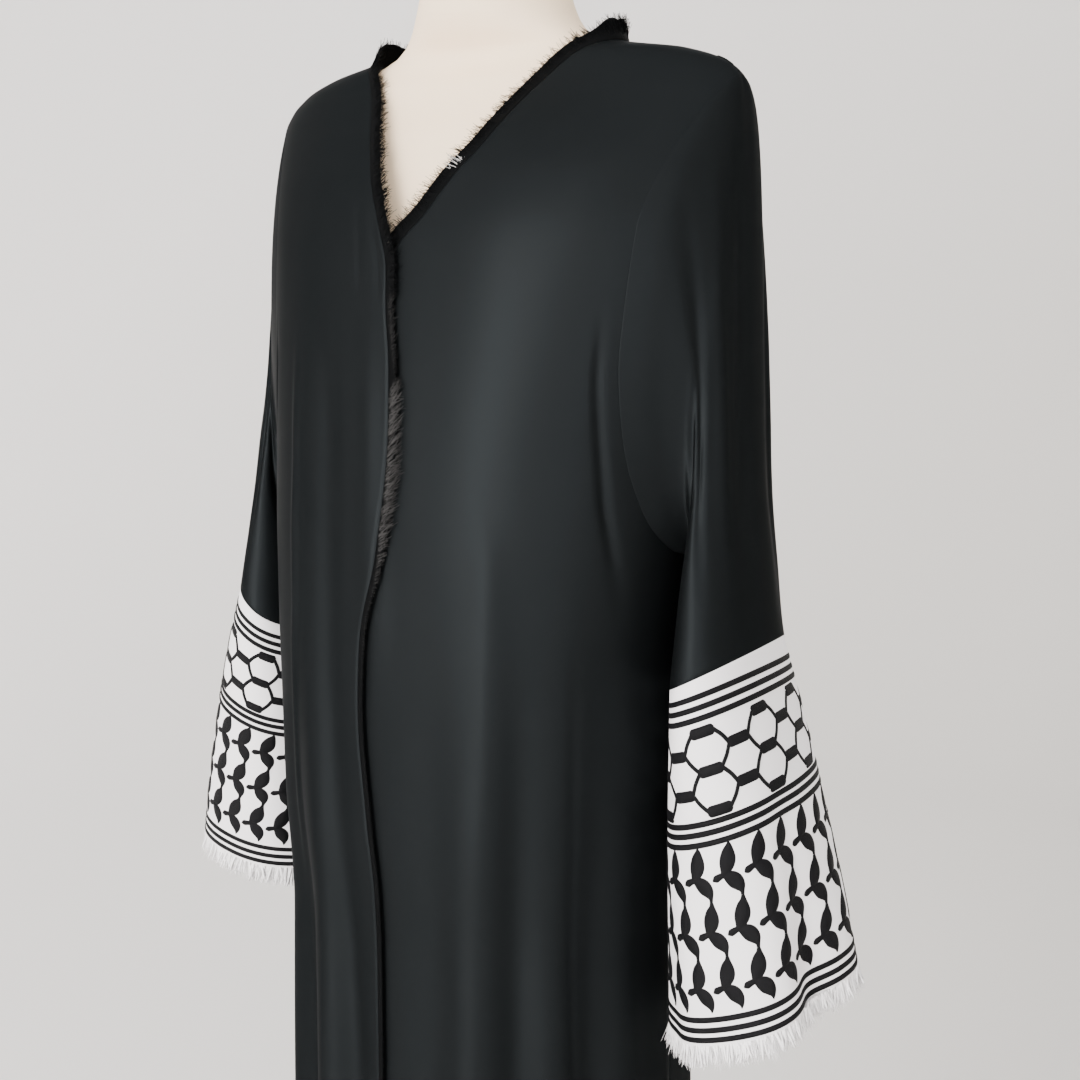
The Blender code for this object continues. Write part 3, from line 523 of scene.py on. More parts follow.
def ease(t):
    """From 0 to 1 on a smooth curve, and level beyond."""
    t = np.clip(t, 0.0, 1.0)
    return t * t * (3 - 2 * t)


def power(value, exponent):
    """A power that keeps the sign."""
    return np.sign(value) * np.abs(value) ** exponent


def between(start, end, share):
    """A value between two."""
    return start + (end - start) * share


def unit(vectors):
    """The vectors at length 1."""
    return vectors / np.maximum(np.linalg.norm(vectors, axis=-1, keepdims=True), 1e-12)


def ring_place(table, angle, height):
    """Points of the plain ring at each height."""
    angle, height = np.broadcast_arrays(np.asarray(angle, float), np.asarray(height, float))
    turn = np.radians(angle)
    exponent = 2 / table["squareness"](height)
    depth = np.where(np.sin(turn) < 0, table["front_depth"](height), table["back_depth"](height))
    x = table["half_width"](height) * power(np.cos(turn), exponent)
    return np.stack([x, depth * power(np.sin(turn), exponent), height], -1)


def garment_ring(angle, height):
    """Points of the garment's plain ring, which is narrower on the right side."""
    place = ring_place(BODY, angle, height)
    place[..., 0] *= np.where(place[..., 0] < 0, 1 - NARROWING(place[..., 2]), 1.0)
    return place


def fold_height(angle, height):
    """How far the hanging folds stand out from the plain ring."""
    total = np.zeros(np.broadcast(angle, height).shape)
    for fold in BODY_FOLDS:
        length = fold.top - HEM_HEIGHT
        down = (fold.top - height) / length
        middle = (fold.top - FOLD_MIDDLE_HEIGHT) / length
        centre = between(fold.angle_at_top, fold.angle_at_hem, down)
        away = np.abs((angle - centre + 180) % 360 - 180) / fold.half_width
        share = np.clip((down - middle) / (1 - middle), 0, 1)
        rise = fold.height_at_middle * ease(down / middle)
        rise = rise + (fold.height_at_hem - fold.height_at_middle) * share
        total = total + np.where(down > 0, rise * np.exp(-FOLD_SHARPNESS * away * away), 0.0)
    return total


def layer_out(layer, x, height):
    """How far a front is moved out or in where the two fronts lie on each other."""
    near_middle = 1 - ease((np.abs(x - OVERLAP_MIDDLE) - OVERLAP_HALF_WIDTH) / OVERLAP_FADE)
    below_neck = 1 - ease((height - OVERLAP_TOP) / OVERLAP_TOP_FADE)
    return layer * LAYER_STEP / 2 * near_middle * below_neck


def creases_at(creases, x, y, scale):
    """How far soft creases stand out. Each crease is a line of (x, y, rise, half width in metres)."""
    total = np.zeros(np.broadcast(x, y).shape)
    for crease in creases:
        nearest = np.full(total.shape, np.inf)
        rise = np.zeros(total.shape)
        for (x0, y0, rise0, width0), (x1, y1, rise1, width1) in zip(crease, crease[1:]):
            run = np.array([(x1 - x0) * scale[0], (y1 - y0) * scale[1]])
            dx, dy = (x - x0) * scale[0], (y - y0) * scale[1]
            share = np.clip((dx * run[0] + dy * run[1]) / (run @ run), 0, 1)
            away = np.hypot(dx - share * run[0], dy - share * run[1])
            width = between(width0, width1, share)
            here = between(rise0, rise1, ease(share)) * np.exp(-FOLD_SHARPNESS * (away / width) ** 2)
            rise = np.where(away < nearest, here, rise)
            nearest = np.minimum(nearest, away)
        total = total + rise
    return total


def body_surface(angle, height, layer=0):
    """Points of the outer face of the outer front (layer 1), the inner front (-1) or the back (0)."""
    plain = garment_ring(angle, height)
    across = garment_ring(angle + PLAIN_TURN_STEP, height) - garment_ring(angle - PLAIN_TURN_STEP, height)
    outwards = unit(np.stack([across[..., 1], -across[..., 0], np.zeros_like(across[..., 0])], -1))
    rise = fold_height(angle, height) + layer_out(layer, plain[..., 0], height)
    rise = rise + creases_at(BODY_CREASES, angle, height, BODY_CREASE_SCALE)
    return plain + outwards * rise[..., None]


def body_facing(angle, height, layer):
    """Outward unit normals of the body's surface."""
    across = body_surface(angle + TURN_STEP, height, layer) - body_surface(angle - TURN_STEP, height, layer)
    up = body_surface(angle, height + HEIGHT_STEP, layer) - body_surface(angle, height - HEIGHT_STEP, layer)
    return unit(np.cross(across, up))


def angle_at(x, height, side=-1):
    """The angle whose plain ring point has this x. The side is -1 on the front and 1 on the back."""
    half_width = BODY["half_width"](height)
    half_width = np.where(x < 0, half_width * (1 - NARROWING(height)), half_width)
    share = np.clip(x / half_width, -1.0, 1.0)
    return side * np.degrees(np.arccos(power(share, BODY["squareness"](height) / 2)))


def armhole_angle(height, column, side):
    """The armhole's angle on the left (side 1) or right (side -1) of the front or back."""
    turn = ARMHOLE_TURN[column](height)
    sign = -1 if column == "front" else 1
    return sign * turn if side > 0 else sign * (180 - turn)


def yoke_rise(w):
    """How far up the yoke a row lies. The rows crowd towards the underarm and the shoulder."""
    return 0.5 - 0.5 * np.cos(np.pi * w)


def skirt_heights():
    """Heights of the rows from the hem up to the underarm."""
    return np.linspace(HEM_HEIGHT, UNDERARM_HEIGHT, SKIRT_ROW_COUNT + 1)


def yoke_grid(bottom, top, start, end, u, w, front_or_back):
    """The (angle, height) of yoke rows between four border curves, spread evenly as seen from the front."""

    def flat(curve, at):
        angle, height = curve(at)
        return np.stack([garment_ring(angle, height)[..., 0], height + np.zeros_like(at)], -1)

    uu, ww = u[None, :, None], w[:, None, None]
    low, high = flat(bottom, u)[None], flat(top, u)[None]
    first, last = flat(start, w)[:, None], flat(end, w)[:, None]
    corners = (1 - uu) * (1 - ww) * low[:, :1] + uu * (1 - ww) * low[:, -1:]
    corners = corners + (1 - uu) * ww * high[:, :1] + uu * ww * high[:, -1:]
    place = (1 - ww) * low + ww * high + (1 - uu) * first + uu * last - corners
    x, height = place[..., 0], place[..., 1]
    angle = angle_at(x, height, front_or_back)
    for border, at, where in ((top, u, np.s_[-1, :]), (start, w, np.s_[:, 0]), (end, w, np.s_[:, -1])):
        angle[where], height[where] = border(at)
    return angle, height


def front_panel(edge, side):
    """Grids of angle and height over a front, from the front edge to the side seam and from the hem up."""
    across = Profile(edge, "across")
    seam = 0.0 if side > 0 else -180.0
    u = np.linspace(0, 1, FRONT_COLUMNS + 1)
    w = np.linspace(0, 1, YOKE_ROW_COUNT + 1)

    def at_edge(height):
        return angle_at(across(height), height)

    def bottom(share):
        height = np.full_like(share, UNDERARM_HEIGHT)
        return between(at_edge(height), seam, share), height

    def top(share):
        return np.full_like(share, seam), between(NECK_POINT_HEIGHT, SHOULDER_TIP_HEIGHT, share)

    def start(share):
        height = between(UNDERARM_HEIGHT, NECK_POINT_HEIGHT, yoke_rise(share))
        return at_edge(height), height

    def end(share):
        height = between(UNDERARM_HEIGHT, SHOULDER_TIP_HEIGHT, yoke_rise(share))
        return armhole_angle(height, "front", side), height

    heights = skirt_heights()[:, None] + 0 * u[None]
    angles = between(at_edge(heights), seam, u[None])
    angle, height = yoke_grid(bottom, top, start, end, u, w, -1)
    return np.concatenate([angles, angle[1:]]), np.concatenate([heights, height[1:]])


def back_panel():
    """Grids of angle and height over the back, from the left side seam round to the right one."""
    u = np.linspace(0, 1, BACK_COLUMNS + 1)
    w = np.linspace(0, 1, YOKE_ROW_COUNT + 1)

    def bottom(share):
        return 180 * share, np.full_like(share, UNDERARM_HEIGHT)

    def top(share):
        from_side = np.minimum(share, 1 - share)
        along = from_side / SHOULDER_SHARE
        seam_height = between(SHOULDER_TIP_HEIGHT, NECK_POINT_HEIGHT, along)
        neck = np.clip((share - SHOULDER_SHARE) / (1 - 2 * SHOULDER_SHARE), 0, 1)
        neck_height = between(NECK_POINT_HEIGHT, BACK_NECK_HEIGHT, np.sin(np.pi * neck))
        on_seam = from_side <= SHOULDER_SHARE
        angle = np.where(on_seam, np.where(share < 0.5, 0.0, 180.0), 180 * neck)
        return angle, np.where(on_seam, seam_height, neck_height)

    def armhole(side):
        def curve(share):
            height = between(UNDERARM_HEIGHT, SHOULDER_TIP_HEIGHT, yoke_rise(share))
            return armhole_angle(height, "back", side), height

        return curve

    heights = skirt_heights()[:, None] + 0 * u[None]
    angles = 180 * u[None] + 0 * heights
    angle, height = yoke_grid(bottom, top, armhole(1), armhole(-1), u, w, 1)
    return np.concatenate([angles, angle[1:]]), np.concatenate([heights, height[1:]])


def armhole_place(station, side):
    """The (angle, height) of points round an armhole, from the underarm up the front and down the back."""
    height = between(UNDERARM_HEIGHT, SHOULDER_TIP_HEIGHT, yoke_rise(1 - np.abs(1 - station / HALF_STATIONS)))
    front = armhole_angle(height, "front", side)
    back = armhole_angle(height, "back", side)
    return np.where(station <= HALF_STATIONS, front, back), height


def inner_shift(number, hang):
    """How far the inner side of a ring is moved up at the cuff seam and down at the hem."""
    above = ease((number - SEAM_RISE_START_RING) / (CUFF_SEAM_RING - SEAM_RISE_START_RING))
    below = ease((number - CUFF_SEAM_RING) / (CUFF_HEM_RING - CUFF_SEAM_RING))
    return hang.seam_rise * (above - below) - hang.hem_drop * below


def plain_sleeve(number, station, side):
    """Points of a sleeve's plain outer face. The station counts from the underarm up the front."""
    flip = np.array([side, 1, 1])
    number, station = np.broadcast_arrays(np.asarray(number, float), np.asarray(station, float))
    value = {column: profile(number) for column, profile in SLEEVE.items()}
    zero = np.zeros_like(number)
    around = np.pi * (1 - station / HALF_STATIONS)
    hang = SLEEVE_HANGS[side]
    share = number / CUFF_HEM_RING
    outer = np.stack([value["outer_x"], zero, value["outer_z"]], -1)
    inner = np.stack([value["inner_x"], zero, value["inner_z"] + inner_shift(number, hang)], -1)
    frontwards = np.stack([zero, -value["half_depth"], -(share**3) * hang.front_drop], -1)
    shift = np.stack([zero - hang.inward, value["centre_y"], -share * hang.drop], -1)
    exponent = 2 / SLEEVE_SQUARENESS
    across = power(np.cos(around), exponent)[..., None] * (outer - inner) / 2
    tube = (outer + inner) / 2 + shift + across + power(np.sin(around), exponent)[..., None] * frontwards
    angle, height = armhole_place(np.clip(station, 0, 2 * HALF_STATIONS), side)
    armhole = flip * body_surface(angle, height)
    keep = value["armhole_share"][..., None]
    return flip * (keep * armhole + (1 - keep) * tube)


def sleeve_facing(surface, number, station, side):
    """Outward unit normals of a sleeve's surface."""
    around = surface(number, station + STATION_STEP, side) - surface(number, station - STATION_STEP, side)
    down = surface(number + NUMBER_STEP, station, side) - surface(number - NUMBER_STEP, station, side)
    return unit(np.cross(around, down)) * -side


def sleeve_surface(number, station, side):
    """Points of a sleeve's outer face with its soft folds."""
    number, station = np.broadcast_arrays(np.asarray(number, float), np.asarray(station, float))
    rise = creases_at(SLEEVE_CREASES[side], station, number, SLEEVE_CREASE_SCALE)
    outwards = sleeve_facing(plain_sleeve, number, station, side)
    return plain_sleeve(number, station, side) + outwards * rise[..., None]


def grid_normals(grid, around):
    """Unit normals of a grid of points, before they are turned outwards."""
    if around:
        across = np.roll(grid, -1, 1) - np.roll(grid, 1, 1)
    else:
        across = np.gradient(grid, axis=1)
    return unit(np.cross(across, np.gradient(grid, axis=0)))


def outward_normals(grid, around=False):
    """Unit normals that point away from the middle axis of a tube or of the body."""
    normals = grid_normals(grid, around)
    if around:
        away = grid - grid.mean(1, keepdims=True)
    else:
        away = (grid - np.array([0.0, BODY_AXIS_DEPTH, 0.0])) * np.array([1.0, 1.0, 0.0])
    turned = np.sign((normals * away).sum(-1, keepdims=True).mean())
    return normals * turned


def new_mesh(name, points, faces, look, across=None, along=None):
    """A mesh object with one material, smooth shading and, where it is given, a UV map in metres."""
    mesh = bpy.data.meshes.new(name)
    mesh.from_pydata(np.asarray(points, float).tolist(), [], faces)
    mesh.update()
    if across is not None:
        uv = mesh.uv_layers.new(name="cloth")
        corners = np.empty(len(mesh.loops), np.int64)
        mesh.loops.foreach_get("vertex_index", corners)
        flat = np.stack([np.asarray(across).ravel()[corners], np.asarray(along).ravel()[corners]], -1)
        uv.data.foreach_set("uv", flat.astype(np.float32).ravel())
    mesh.materials.append(look)
    mesh.shade_smooth()
    obj = bpy.data.objects.new(name, mesh)
    bpy.context.scene.collection.objects.link(obj)
    return obj


def grid_faces(rows, columns, around, offset=0):
    """Faces of a grid of points, row by row."""
    i = np.arange(rows - 1)[:, None]
    j = np.arange(columns if around else columns - 1)[None]
    n = (j + 1) % columns
    corners = [i * columns + j, i * columns + n, (i + 1) * columns + n, (i + 1) * columns + j]
    return (np.stack(corners, -1).reshape(-1, 4) + offset).tolist()


def border_loop(rows, columns):
    """The numbers of a grid's border points, in order round it."""
    numbers = np.arange(rows * columns).reshape(rows, columns)
    return np.concatenate([numbers[0], numbers[1:, -1], numbers[-1, -2::-1], numbers[-2:0:-1, 0]])


def arc_lengths(grid, axis):
    """How far each point of a grid is along its row (axis 1) or column (axis 0), in metres."""
    steps = np.linalg.norm(np.diff(grid, axis=axis), axis=-1)
    start = np.zeros_like(np.take(steps, [0], axis=axis))
    return np.concatenate([start, np.cumsum(steps, axis=axis)], axis=axis)


def pulled_in(grid, axis):
    """The grid with its first and last points along an axis moved one step in."""
    count = grid.shape[axis]
    return grid.take(np.clip(np.arange(count), 1, count - 2), axis)


def cloth_shell(name, outer, normals, thickness, look, around=False):
    """A closed thin shell under a grid of points, with rounded edges."""
    rows, columns = outer.shape[:2]
    half = rows * columns
    inner = outer - thickness * normals
    middle = (outer + inner) / 2
    inward = pulled_in(middle, 0)
    if around:
        loops = [np.arange(columns), np.arange(half - columns, half)[::-1]]
    else:
        loops = [border_loop(rows, columns)]
        inward = pulled_in(inward, 1)
    middle, inward, normals = (grid.reshape(-1, 3) for grid in (middle, inward, normals))
    faces = grid_faces(rows, columns, around)
    faces += [face[::-1] for face in grid_faces(rows, columns, around, half)]
    points = [outer.reshape(-1, 3), inner.reshape(-1, 3)]
    across = [arc_lengths(outer, 1).ravel()] * 2
    along = [arc_lengths(outer, 0).ravel()] * 2
    start = 2 * half
    for loop in loops:
        away = middle[loop] - inward[loop]
        away = unit(away - (away * normals[loop]).sum(-1, keepdims=True) * normals[loop])
        points.append(middle[loop] + away * thickness / 2)
        across.append(across[0][loop])
        along.append(along[0][loop])
        rim = start + np.arange(len(loop))
        loop_ahead, rim_ahead = np.roll(loop, -1), np.roll(rim, -1)
        outer_band = np.stack([loop_ahead, loop, rim, rim_ahead], -1)
        inner_band = np.stack([rim_ahead, rim, half + loop, half + loop_ahead], -1)
        faces += np.stack([outer_band, inner_band], 1).reshape(-1, 4).tolist()
        start += len(loop)
    obj = new_mesh(name, np.concatenate(points), faces, look, np.concatenate(across), np.concatenate(along))
    turn_out(obj)
    return obj


def turn_out(obj):
    """Turn the faces of a closed mesh outwards if they face in."""
    mesh = obj.data
    places = np.empty(len(mesh.vertices) * 3)
    mesh.vertices.foreach_get("co", places)
    mesh.calc_loop_triangles()
    corners = np.empty(len(mesh.loop_triangles) * 3, np.int64)
    mesh.loop_triangles.foreach_get("vertices", corners)
    a, b, c = places.reshape(-1, 3)[corners.reshape(-1, 3)].transpose(1, 0, 2)
    if (a * np.cross(b, c)).sum() < 0:
        mesh.flip_normals()


def settle(piece, slot, *nodes):
    """Let a finished piece move with the body, in place of the CAD nodes that it stands for."""
    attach(piece, "root")
    if nodes:
        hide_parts(*nodes)


# Materials. The maths signs join values to numbers and to other values.
class Value:
    """A value in a material."""

    def __init__(self, look, socket):
        self.look = look
        self.socket = socket

    def maths(self, operation, other):
        """The value that a maths operation makes of this one and another."""
        return self.look.add("ShaderNodeMath", {"operation": operation}, [self, other])

    def __add__(self, other):
        return self.maths("ADD", other)

    def __mul__(self, other):
        return self.maths("MULTIPLY", other)

    __radd__ = __add__
    __rmul__ = __mul__


# The numbers of a colour mix's sockets, how many waves a wave texture has in a metre at scale 1, and how rough
# the noise is
MIX_SHARE, MIX_FIRST, MIX_SECOND, MIX_RESULT = 0, 6, 7, 2
WAVES_AT_SCALE_ONE = 20 / math.tau
NOISE_ROUGHNESS = 0.55


class Look:
    """A procedural material with one shader."""

    def __init__(self, name):
        self.material = bpy.data.materials.new(name)
        self.material.use_nodes = True
        self.tree = self.material.node_tree
        self.shader = self.tree.nodes["Principled BSDF"]

    def add(self, kind, settings=None, inputs=(), output=0):
        """Another node, its settings first and then the values or links of its sockets."""
        node = self.tree.nodes.new(kind)
        for key, value in (settings or {}).items():
            setattr(node, key, value)
        pairs = inputs.items() if isinstance(inputs, dict) else enumerate(inputs)
        for key, value in pairs:
            self.join(node.inputs[key], value)
        return Value(self, node.outputs[output])

    def join(self, socket, value):
        """Link a value to a socket, or set a plain number or colour on the socket itself."""
        if isinstance(value, Value):
            self.tree.links.new(value.socket, socket)
        else:
            socket.default_value = value

    def finished(self, **sockets):
        """The material, with these values on its shader."""
        for key, value in sockets.items():
            self.join(self.shader.inputs[key.replace("_", " ")], value)
        return self.material

    def place(self):
        """The place of a point on its piece, in metres."""
        return self.add("ShaderNodeTexCoord", output="Object")

    def cloth_place(self):
        """The place of a point on the flat cloth, in metres."""
        return self.add("ShaderNodeUVMap", {"uv_map": "cloth"})

    def noise(self, vector, scale, detail):
        """Soft random clouds or, at a large scale, grain."""
        sockets = {"Vector": vector, "Scale": scale, "Detail": detail, "Roughness": NOISE_ROUGHNESS}
        return self.add("ShaderNodeTexNoise", {}, sockets, "Fac")

    def wave(self, vector, direction, waves, distortion, detail_scale):
        """Bands with a number of waves to the metre."""
        settings = {"wave_type": "BANDS", "bands_direction": direction, "wave_profile": "SIN"}
        scale = waves / WAVES_AT_SCALE_ONE
        sockets = {"Vector": vector, "Scale": scale, "Distortion": distortion, "Detail Scale": detail_scale}
        return self.add("ShaderNodeTexWave", settings, sockets, "Fac")

    def weave(self, vector, directions, waves, distortion, detail_scale):
        """Crossed bands of warp and weft, in equal parts."""
        warp = self.wave(vector, directions[0], waves[0], distortion, detail_scale)
        weft = self.wave(vector, directions[1], waves[1], distortion, detail_scale)
        return warp * 0.5 + weft * 0.5

    def blend(self, share, shades):
        """A colour between two shades."""
        sockets = {MIX_SHARE: share, MIX_FIRST: (*shades.first, 1.0), MIX_SECOND: (*shades.second, 1.0)}
        return self.add("ShaderNodeMix", {"data_type": "RGBA"}, sockets, MIX_RESULT)

    def raise_by(self, height, distance, strength):
        """Normals that follow a fine relief."""
        sockets = {"Height": height, "Distance": distance, "Strength": strength}
        return self.add("ShaderNodeBump", {}, sockets, "Normal")


# The two shades that each finish wanders between. The yarn's second is that of its lightest threads, and a
# share towards it paints sheen on the trim. The studio's paint goes from its first to its second along the
# slope, as painted shade.
Shades = namedtuple("Shades", "first second")
CREPE_SHADES = Shades((0.0081, 0.0094, 0.0101), (0.0113, 0.0128, 0.0137))
CUFF_SHADES = Shades((0.80, 0.775, 0.79), (0.87, 0.85, 0.86))
CANVAS_SHADES = Shades((0.86, 0.67, 0.465), (0.92, 0.735, 0.53))
STEEL_SHADES = Shades((0.035, 0.035, 0.038), (0.055, 0.055, 0.058))
STITCH_SHADES = Shades((0.0026, 0.0026, 0.0032), (0.0064, 0.0064, 0.0072))
THREAD_SHADES = Shades((0.86, 0.84, 0.845), (0.94, 0.925, 0.925))
YARN_SHADES = Shades((0.0016, 0.0018, 0.0020), (0.60, 0.585, 0.575))
PAINT_AND_PAINTED_SHADE = Shades((0.96, 0.94, 0.93), (0.50, 0.485, 0.45))
# The slope along which the studio's paint darkens, as painted shade
PAINTED_SHADE_SLOPE = (0.13, 0.08, -0.16)
CREPE_EDGE_TINT = (0.5, 0.5, 0.5, 1.0)


def black_crepe():
    """Black crepe, dull, with a broad soft highlight and no bright rim."""
    look = Look("black_crepe")
    grain = look.noise(look.cloth_place(), scale=1900.0, detail=2.0)
    cloud = look.noise(look.place(), scale=9.0, detail=3.0)
    return look.finished(
        Base_Color=look.blend(cloud * 0.6 + grain * 0.4, CREPE_SHADES),
        Roughness=cloud * 0.08 + 0.45,
        Normal=look.raise_by(grain, distance=0.00010, strength=0.4),
        Metallic=0.70,
        Specular_Tint=CREPE_EDGE_TINT,
        Specular_IOR_Level=0.0,
    )


def white_cuff_cloth():
    """White cloth in a fine plain weave."""
    look = Look("white_cuff_cloth")
    weave = look.weave(look.cloth_place(), "XY", waves=(1700.0, 1500.0), distortion=1.0, detail_scale=400.0)
    cloud = look.noise(look.place(), scale=30.0, detail=3.0)
    return look.finished(
        Base_Color=look.blend(cloud, CUFF_SHADES),
        Roughness=cloud * 0.1 + 0.78,
        Normal=look.raise_by(weave, distance=0.0001, strength=0.35),
        Sheen_Weight=0.12,
    )


def cream_canvas():
    """The dress form's tight canvas cover."""
    look = Look("cream_canvas")
    place = look.place()
    weave = look.weave(place, "XZ", waves=(900.0, 900.0), distortion=0.6, detail_scale=200.0)
    cloud = look.noise(place, scale=22.0, detail=4.0)
    return look.finished(
        Base_Color=look.blend(cloud, CANVAS_SHADES),
        Roughness=cloud * 0.1 + 0.72,
        Normal=look.raise_by(weave, distance=0.0001, strength=0.3),
    )


def painted_steel():
    """Satin black paint on the pole and the base."""
    look = Look("painted_steel")
    place = look.place()
    peel = look.noise(place, scale=350.0, detail=2.0)
    wear = look.noise(place, scale=14.0, detail=4.0)
    return look.finished(
        Base_Color=look.blend(wear, STEEL_SHADES),
        Roughness=wear * 0.14 + 0.36,
        Normal=look.raise_by(peel, distance=0.00008, strength=0.4),
    )


def black_stitch():
    """The black thread of the cuff pattern, laid across each stroke."""
    look = Look("black_satin_stitch")
    strands = look.wave(look.cloth_place(), "Y", waves=2400.0, distortion=1.5, detail_scale=300.0)
    cloud = look.noise(look.place(), scale=60.0, detail=3.0)
    return look.finished(
        Base_Color=look.blend(cloud, STITCH_SHADES),
        Roughness=cloud * 0.12 + 0.55,
        Normal=look.raise_by(strands, distance=0.00012, strength=0.6),
        Specular_IOR_Level=0.08,
    )


def white_thread():
    """The twisted white thread of the fringes."""
    look = Look("white_thread")
    cloud = look.noise(look.place(), scale=140.0, detail=2.0)
    twist = look.noise(look.cloth_place(), scale=3000.0, detail=1.0)
    return look.finished(
        Base_Color=look.blend(cloud, THREAD_SHADES),
        Roughness=cloud * 0.1 + 0.75,
        Normal=look.raise_by(twist, distance=0.00005, strength=0.3),
        Sheen_Weight=0.15,
    )


def frayed_black():
    """The black yarn of the trims, lighter with painted sheen where each thread's lightness attribute says so.
    """
    look = Look("frayed_black_yarn")
    tone = look.add("ShaderNodeAttribute", {"attribute_name": "tone"}, (), "Fac")
    cloud = look.noise(look.place(), scale=160.0, detail=2.0)
    twist = look.wave(look.cloth_place(), "Y", waves=1300.0, distortion=1.5, detail_scale=300.0)
    return look.finished(
        Base_Color=look.blend(tone, YARN_SHADES),
        Roughness=cloud * 0.15 + 0.60,
        Normal=look.raise_by(twist, distance=0.00012, strength=0.5),
        Specular_IOR_Level=0.03,
    )


def studio_paint_with_painted_shade():
    """Matt pale paint with painted shade: it darkens along its slope, towards +X, the back and the floor."""
    look = Look("studio_paint_with_painted_shade")
    place = look.place()
    cloud = look.noise(place, scale=0.8, detail=3.0)
    # Painted shade: the paint darkens along the slope, towards +X, the back and the floor
    slope = look.add("ShaderNodeVectorMath", {"operation": "DOT_PRODUCT"}, [place, PAINTED_SHADE_SLOPE], "Value")
    return look.finished(
        Base_Color=look.blend(slope + cloud * 0.1 + 0.40, PAINT_AND_PAINTED_SHADE),
        Roughness=cloud * 0.05 + 0.85,
    )


# The camera, which stands before the garment's left side and looks a little down. The turn and the pitch are
# degrees, the lens and the sensor millimetres.
CAMERA_TURN = 32.48
CAMERA_PITCH = 7.75
CAMERA_DISTANCE = 1.1886
CAMERA_SHIFT = 0.0306
CAMERA_HEIGHT = 1.2405
CAMERA_LENS = 52.93
SENSOR_WIDTH = 36.0


def make_camera():
    """The camera, from which the garment looks as it does in the photo."""
    turn, pitch = math.radians(CAMERA_TURN), math.radians(CAMERA_PITCH)
    right = Vector((math.cos(turn), math.sin(turn), 0))
    ahead = Vector((-math.sin(turn) * math.cos(pitch), math.cos(turn) * math.cos(pitch), -math.sin(pitch)))
    up = right.cross(ahead)
    stand = Vector((math.sin(turn), -math.cos(turn), 0)) * CAMERA_DISTANCE
    place = stand + Vector((0, 0, CAMERA_HEIGHT)) + right * CAMERA_SHIFT
    data = bpy.data.cameras.new("photo_camera")
    data.lens = CAMERA_LENS
    data.sensor_width = SENSOR_WIDTH
    data.sensor_fit = "HORIZONTAL"
    camera = bpy.data.objects.new("photo_camera", data)
    bpy.context.scene.collection.objects.link(camera)
    turned = Matrix((right, up, -ahead)).transposed()
    camera.matrix_world = Matrix.Translation(place) @ turned.to_4x4()
    bpy.context.scene.camera = camera


# The studio: a round cove, whose rings go out over its floor, round the bend and up the wall
COVE_FLOOR_RINGS = [0.02, 1.0, 2.0]
COVE_FLOOR_RADIUS = 3.0
COVE_BEND = 1.4
COVE_BEND_RINGS = 17
COVE_HEIGHT = 4.5
COVE_COLUMNS = 96


def make_studio():
    """The cove round the garment, with its faces inwards."""
    bend = np.linspace(0, np.pi / 2, COVE_BEND_RINGS)
    bend_radius = COVE_FLOOR_RADIUS + COVE_BEND * np.sin(bend)
    radius = np.concatenate([COVE_FLOOR_RINGS, bend_radius, bend_radius[-1:]])[:, None]
    floor = np.zeros(len(COVE_FLOOR_RINGS))
    height = np.concatenate([floor, COVE_BEND * (1 - np.cos(bend)), [COVE_HEIGHT]])[:, None]
    turn = np.linspace(0, math.tau, COVE_COLUMNS, endpoint=False)
    points = np.stack([radius * np.cos(turn), radius * np.sin(turn), height + 0 * turn], -1)
    faces = grid_faces(len(radius), COVE_COLUMNS, True)
    faces.append(tuple(reversed(range(COVE_COLUMNS))))
    cove = new_mesh("studio_cove", points.reshape(-1, 3), faces, studio_paint_with_painted_shade())
    cove.data.flip_normals()


# The light: soft daylight all round, a tall window before the garment and a weaker light before its left side
DAYLIGHT = (1.0, 0.985, 0.975, 1.0)
DAYLIGHT_STRENGTH = 2.00
Light = namedtuple("Light", "name place target size watts colour")
LIGHTS = [
    Light("tall_window", (-0.22, -2.75, 1.50), (0, 0, 1.05), (0.6, 2.6), 150.0, (1.0, 0.98, 0.96)),
    Light("room_light", (2.1, -2.3, 1.45), (0.1, 0, 0.95), (1.4, 1.4), 44.0, (0.98, 0.98, 1.0)),
]


def soft_light(light):
    """A large soft light that faces its target."""
    data = bpy.data.lights.new(light.name, "AREA")
    data.shape = "RECTANGLE"
    data.size, data.size_y = light.size
    data.energy = light.watts
    data.color = light.colour
    lamp = bpy.data.objects.new(light.name, data)
    bpy.context.scene.collection.objects.link(lamp)
    lamp.location = light.place
    lamp.rotation_euler = (Vector(light.target) - Vector(light.place)).to_track_quat("-Z", "Y").to_euler()


def light_studio():
    """The daylight all round and the soft lights."""
    world = bpy.data.worlds.new("soft_daylight")
    world.use_nodes = True
    sky = world.node_tree.nodes["Background"].inputs
    sky["Color"].default_value = DAYLIGHT
    sky["Strength"].default_value = DAYLIGHT_STRENGTH
    bpy.context.scene.world = world
    for light in LIGHTS:
        soft_light(light)


def body_grids():
    """Angles, heights and layer of the three panels."""
    return {
        "front_right": (*front_panel(RIGHT_FRONT_EDGE, -1), 1),
        "front_left": (*front_panel(LEFT_FRONT_EDGE, 1), -1),
        "back": (*back_panel(), 0),
    }


def make_body(grids, crepe):
    """The two fronts and the back."""
    pieces = {}
    for name, (angle, height, layer) in grids.items():
        outer = body_surface(angle, height, layer)
        pieces[name] = cloth_shell(name + "_cloth", outer, outward_normals(outer), CLOTH_WALL, crepe)
        settle(pieces[name], "black_cloth", name)
    return pieces


def make_tube(name, side, rings, rows, wall, look):
    """A stretch of a sleeve between two ring numbers."""
    number = np.linspace(*rings, rows + 1)[:, None]
    station = np.linspace(0, 2 * HALF_STATIONS, SLEEVE_STATIONS, endpoint=False)[None]
    outer = sleeve_surface(number, station, side)
    return cloth_shell(name + "_cloth", outer, outward_normals(outer, True), wall, look, True)


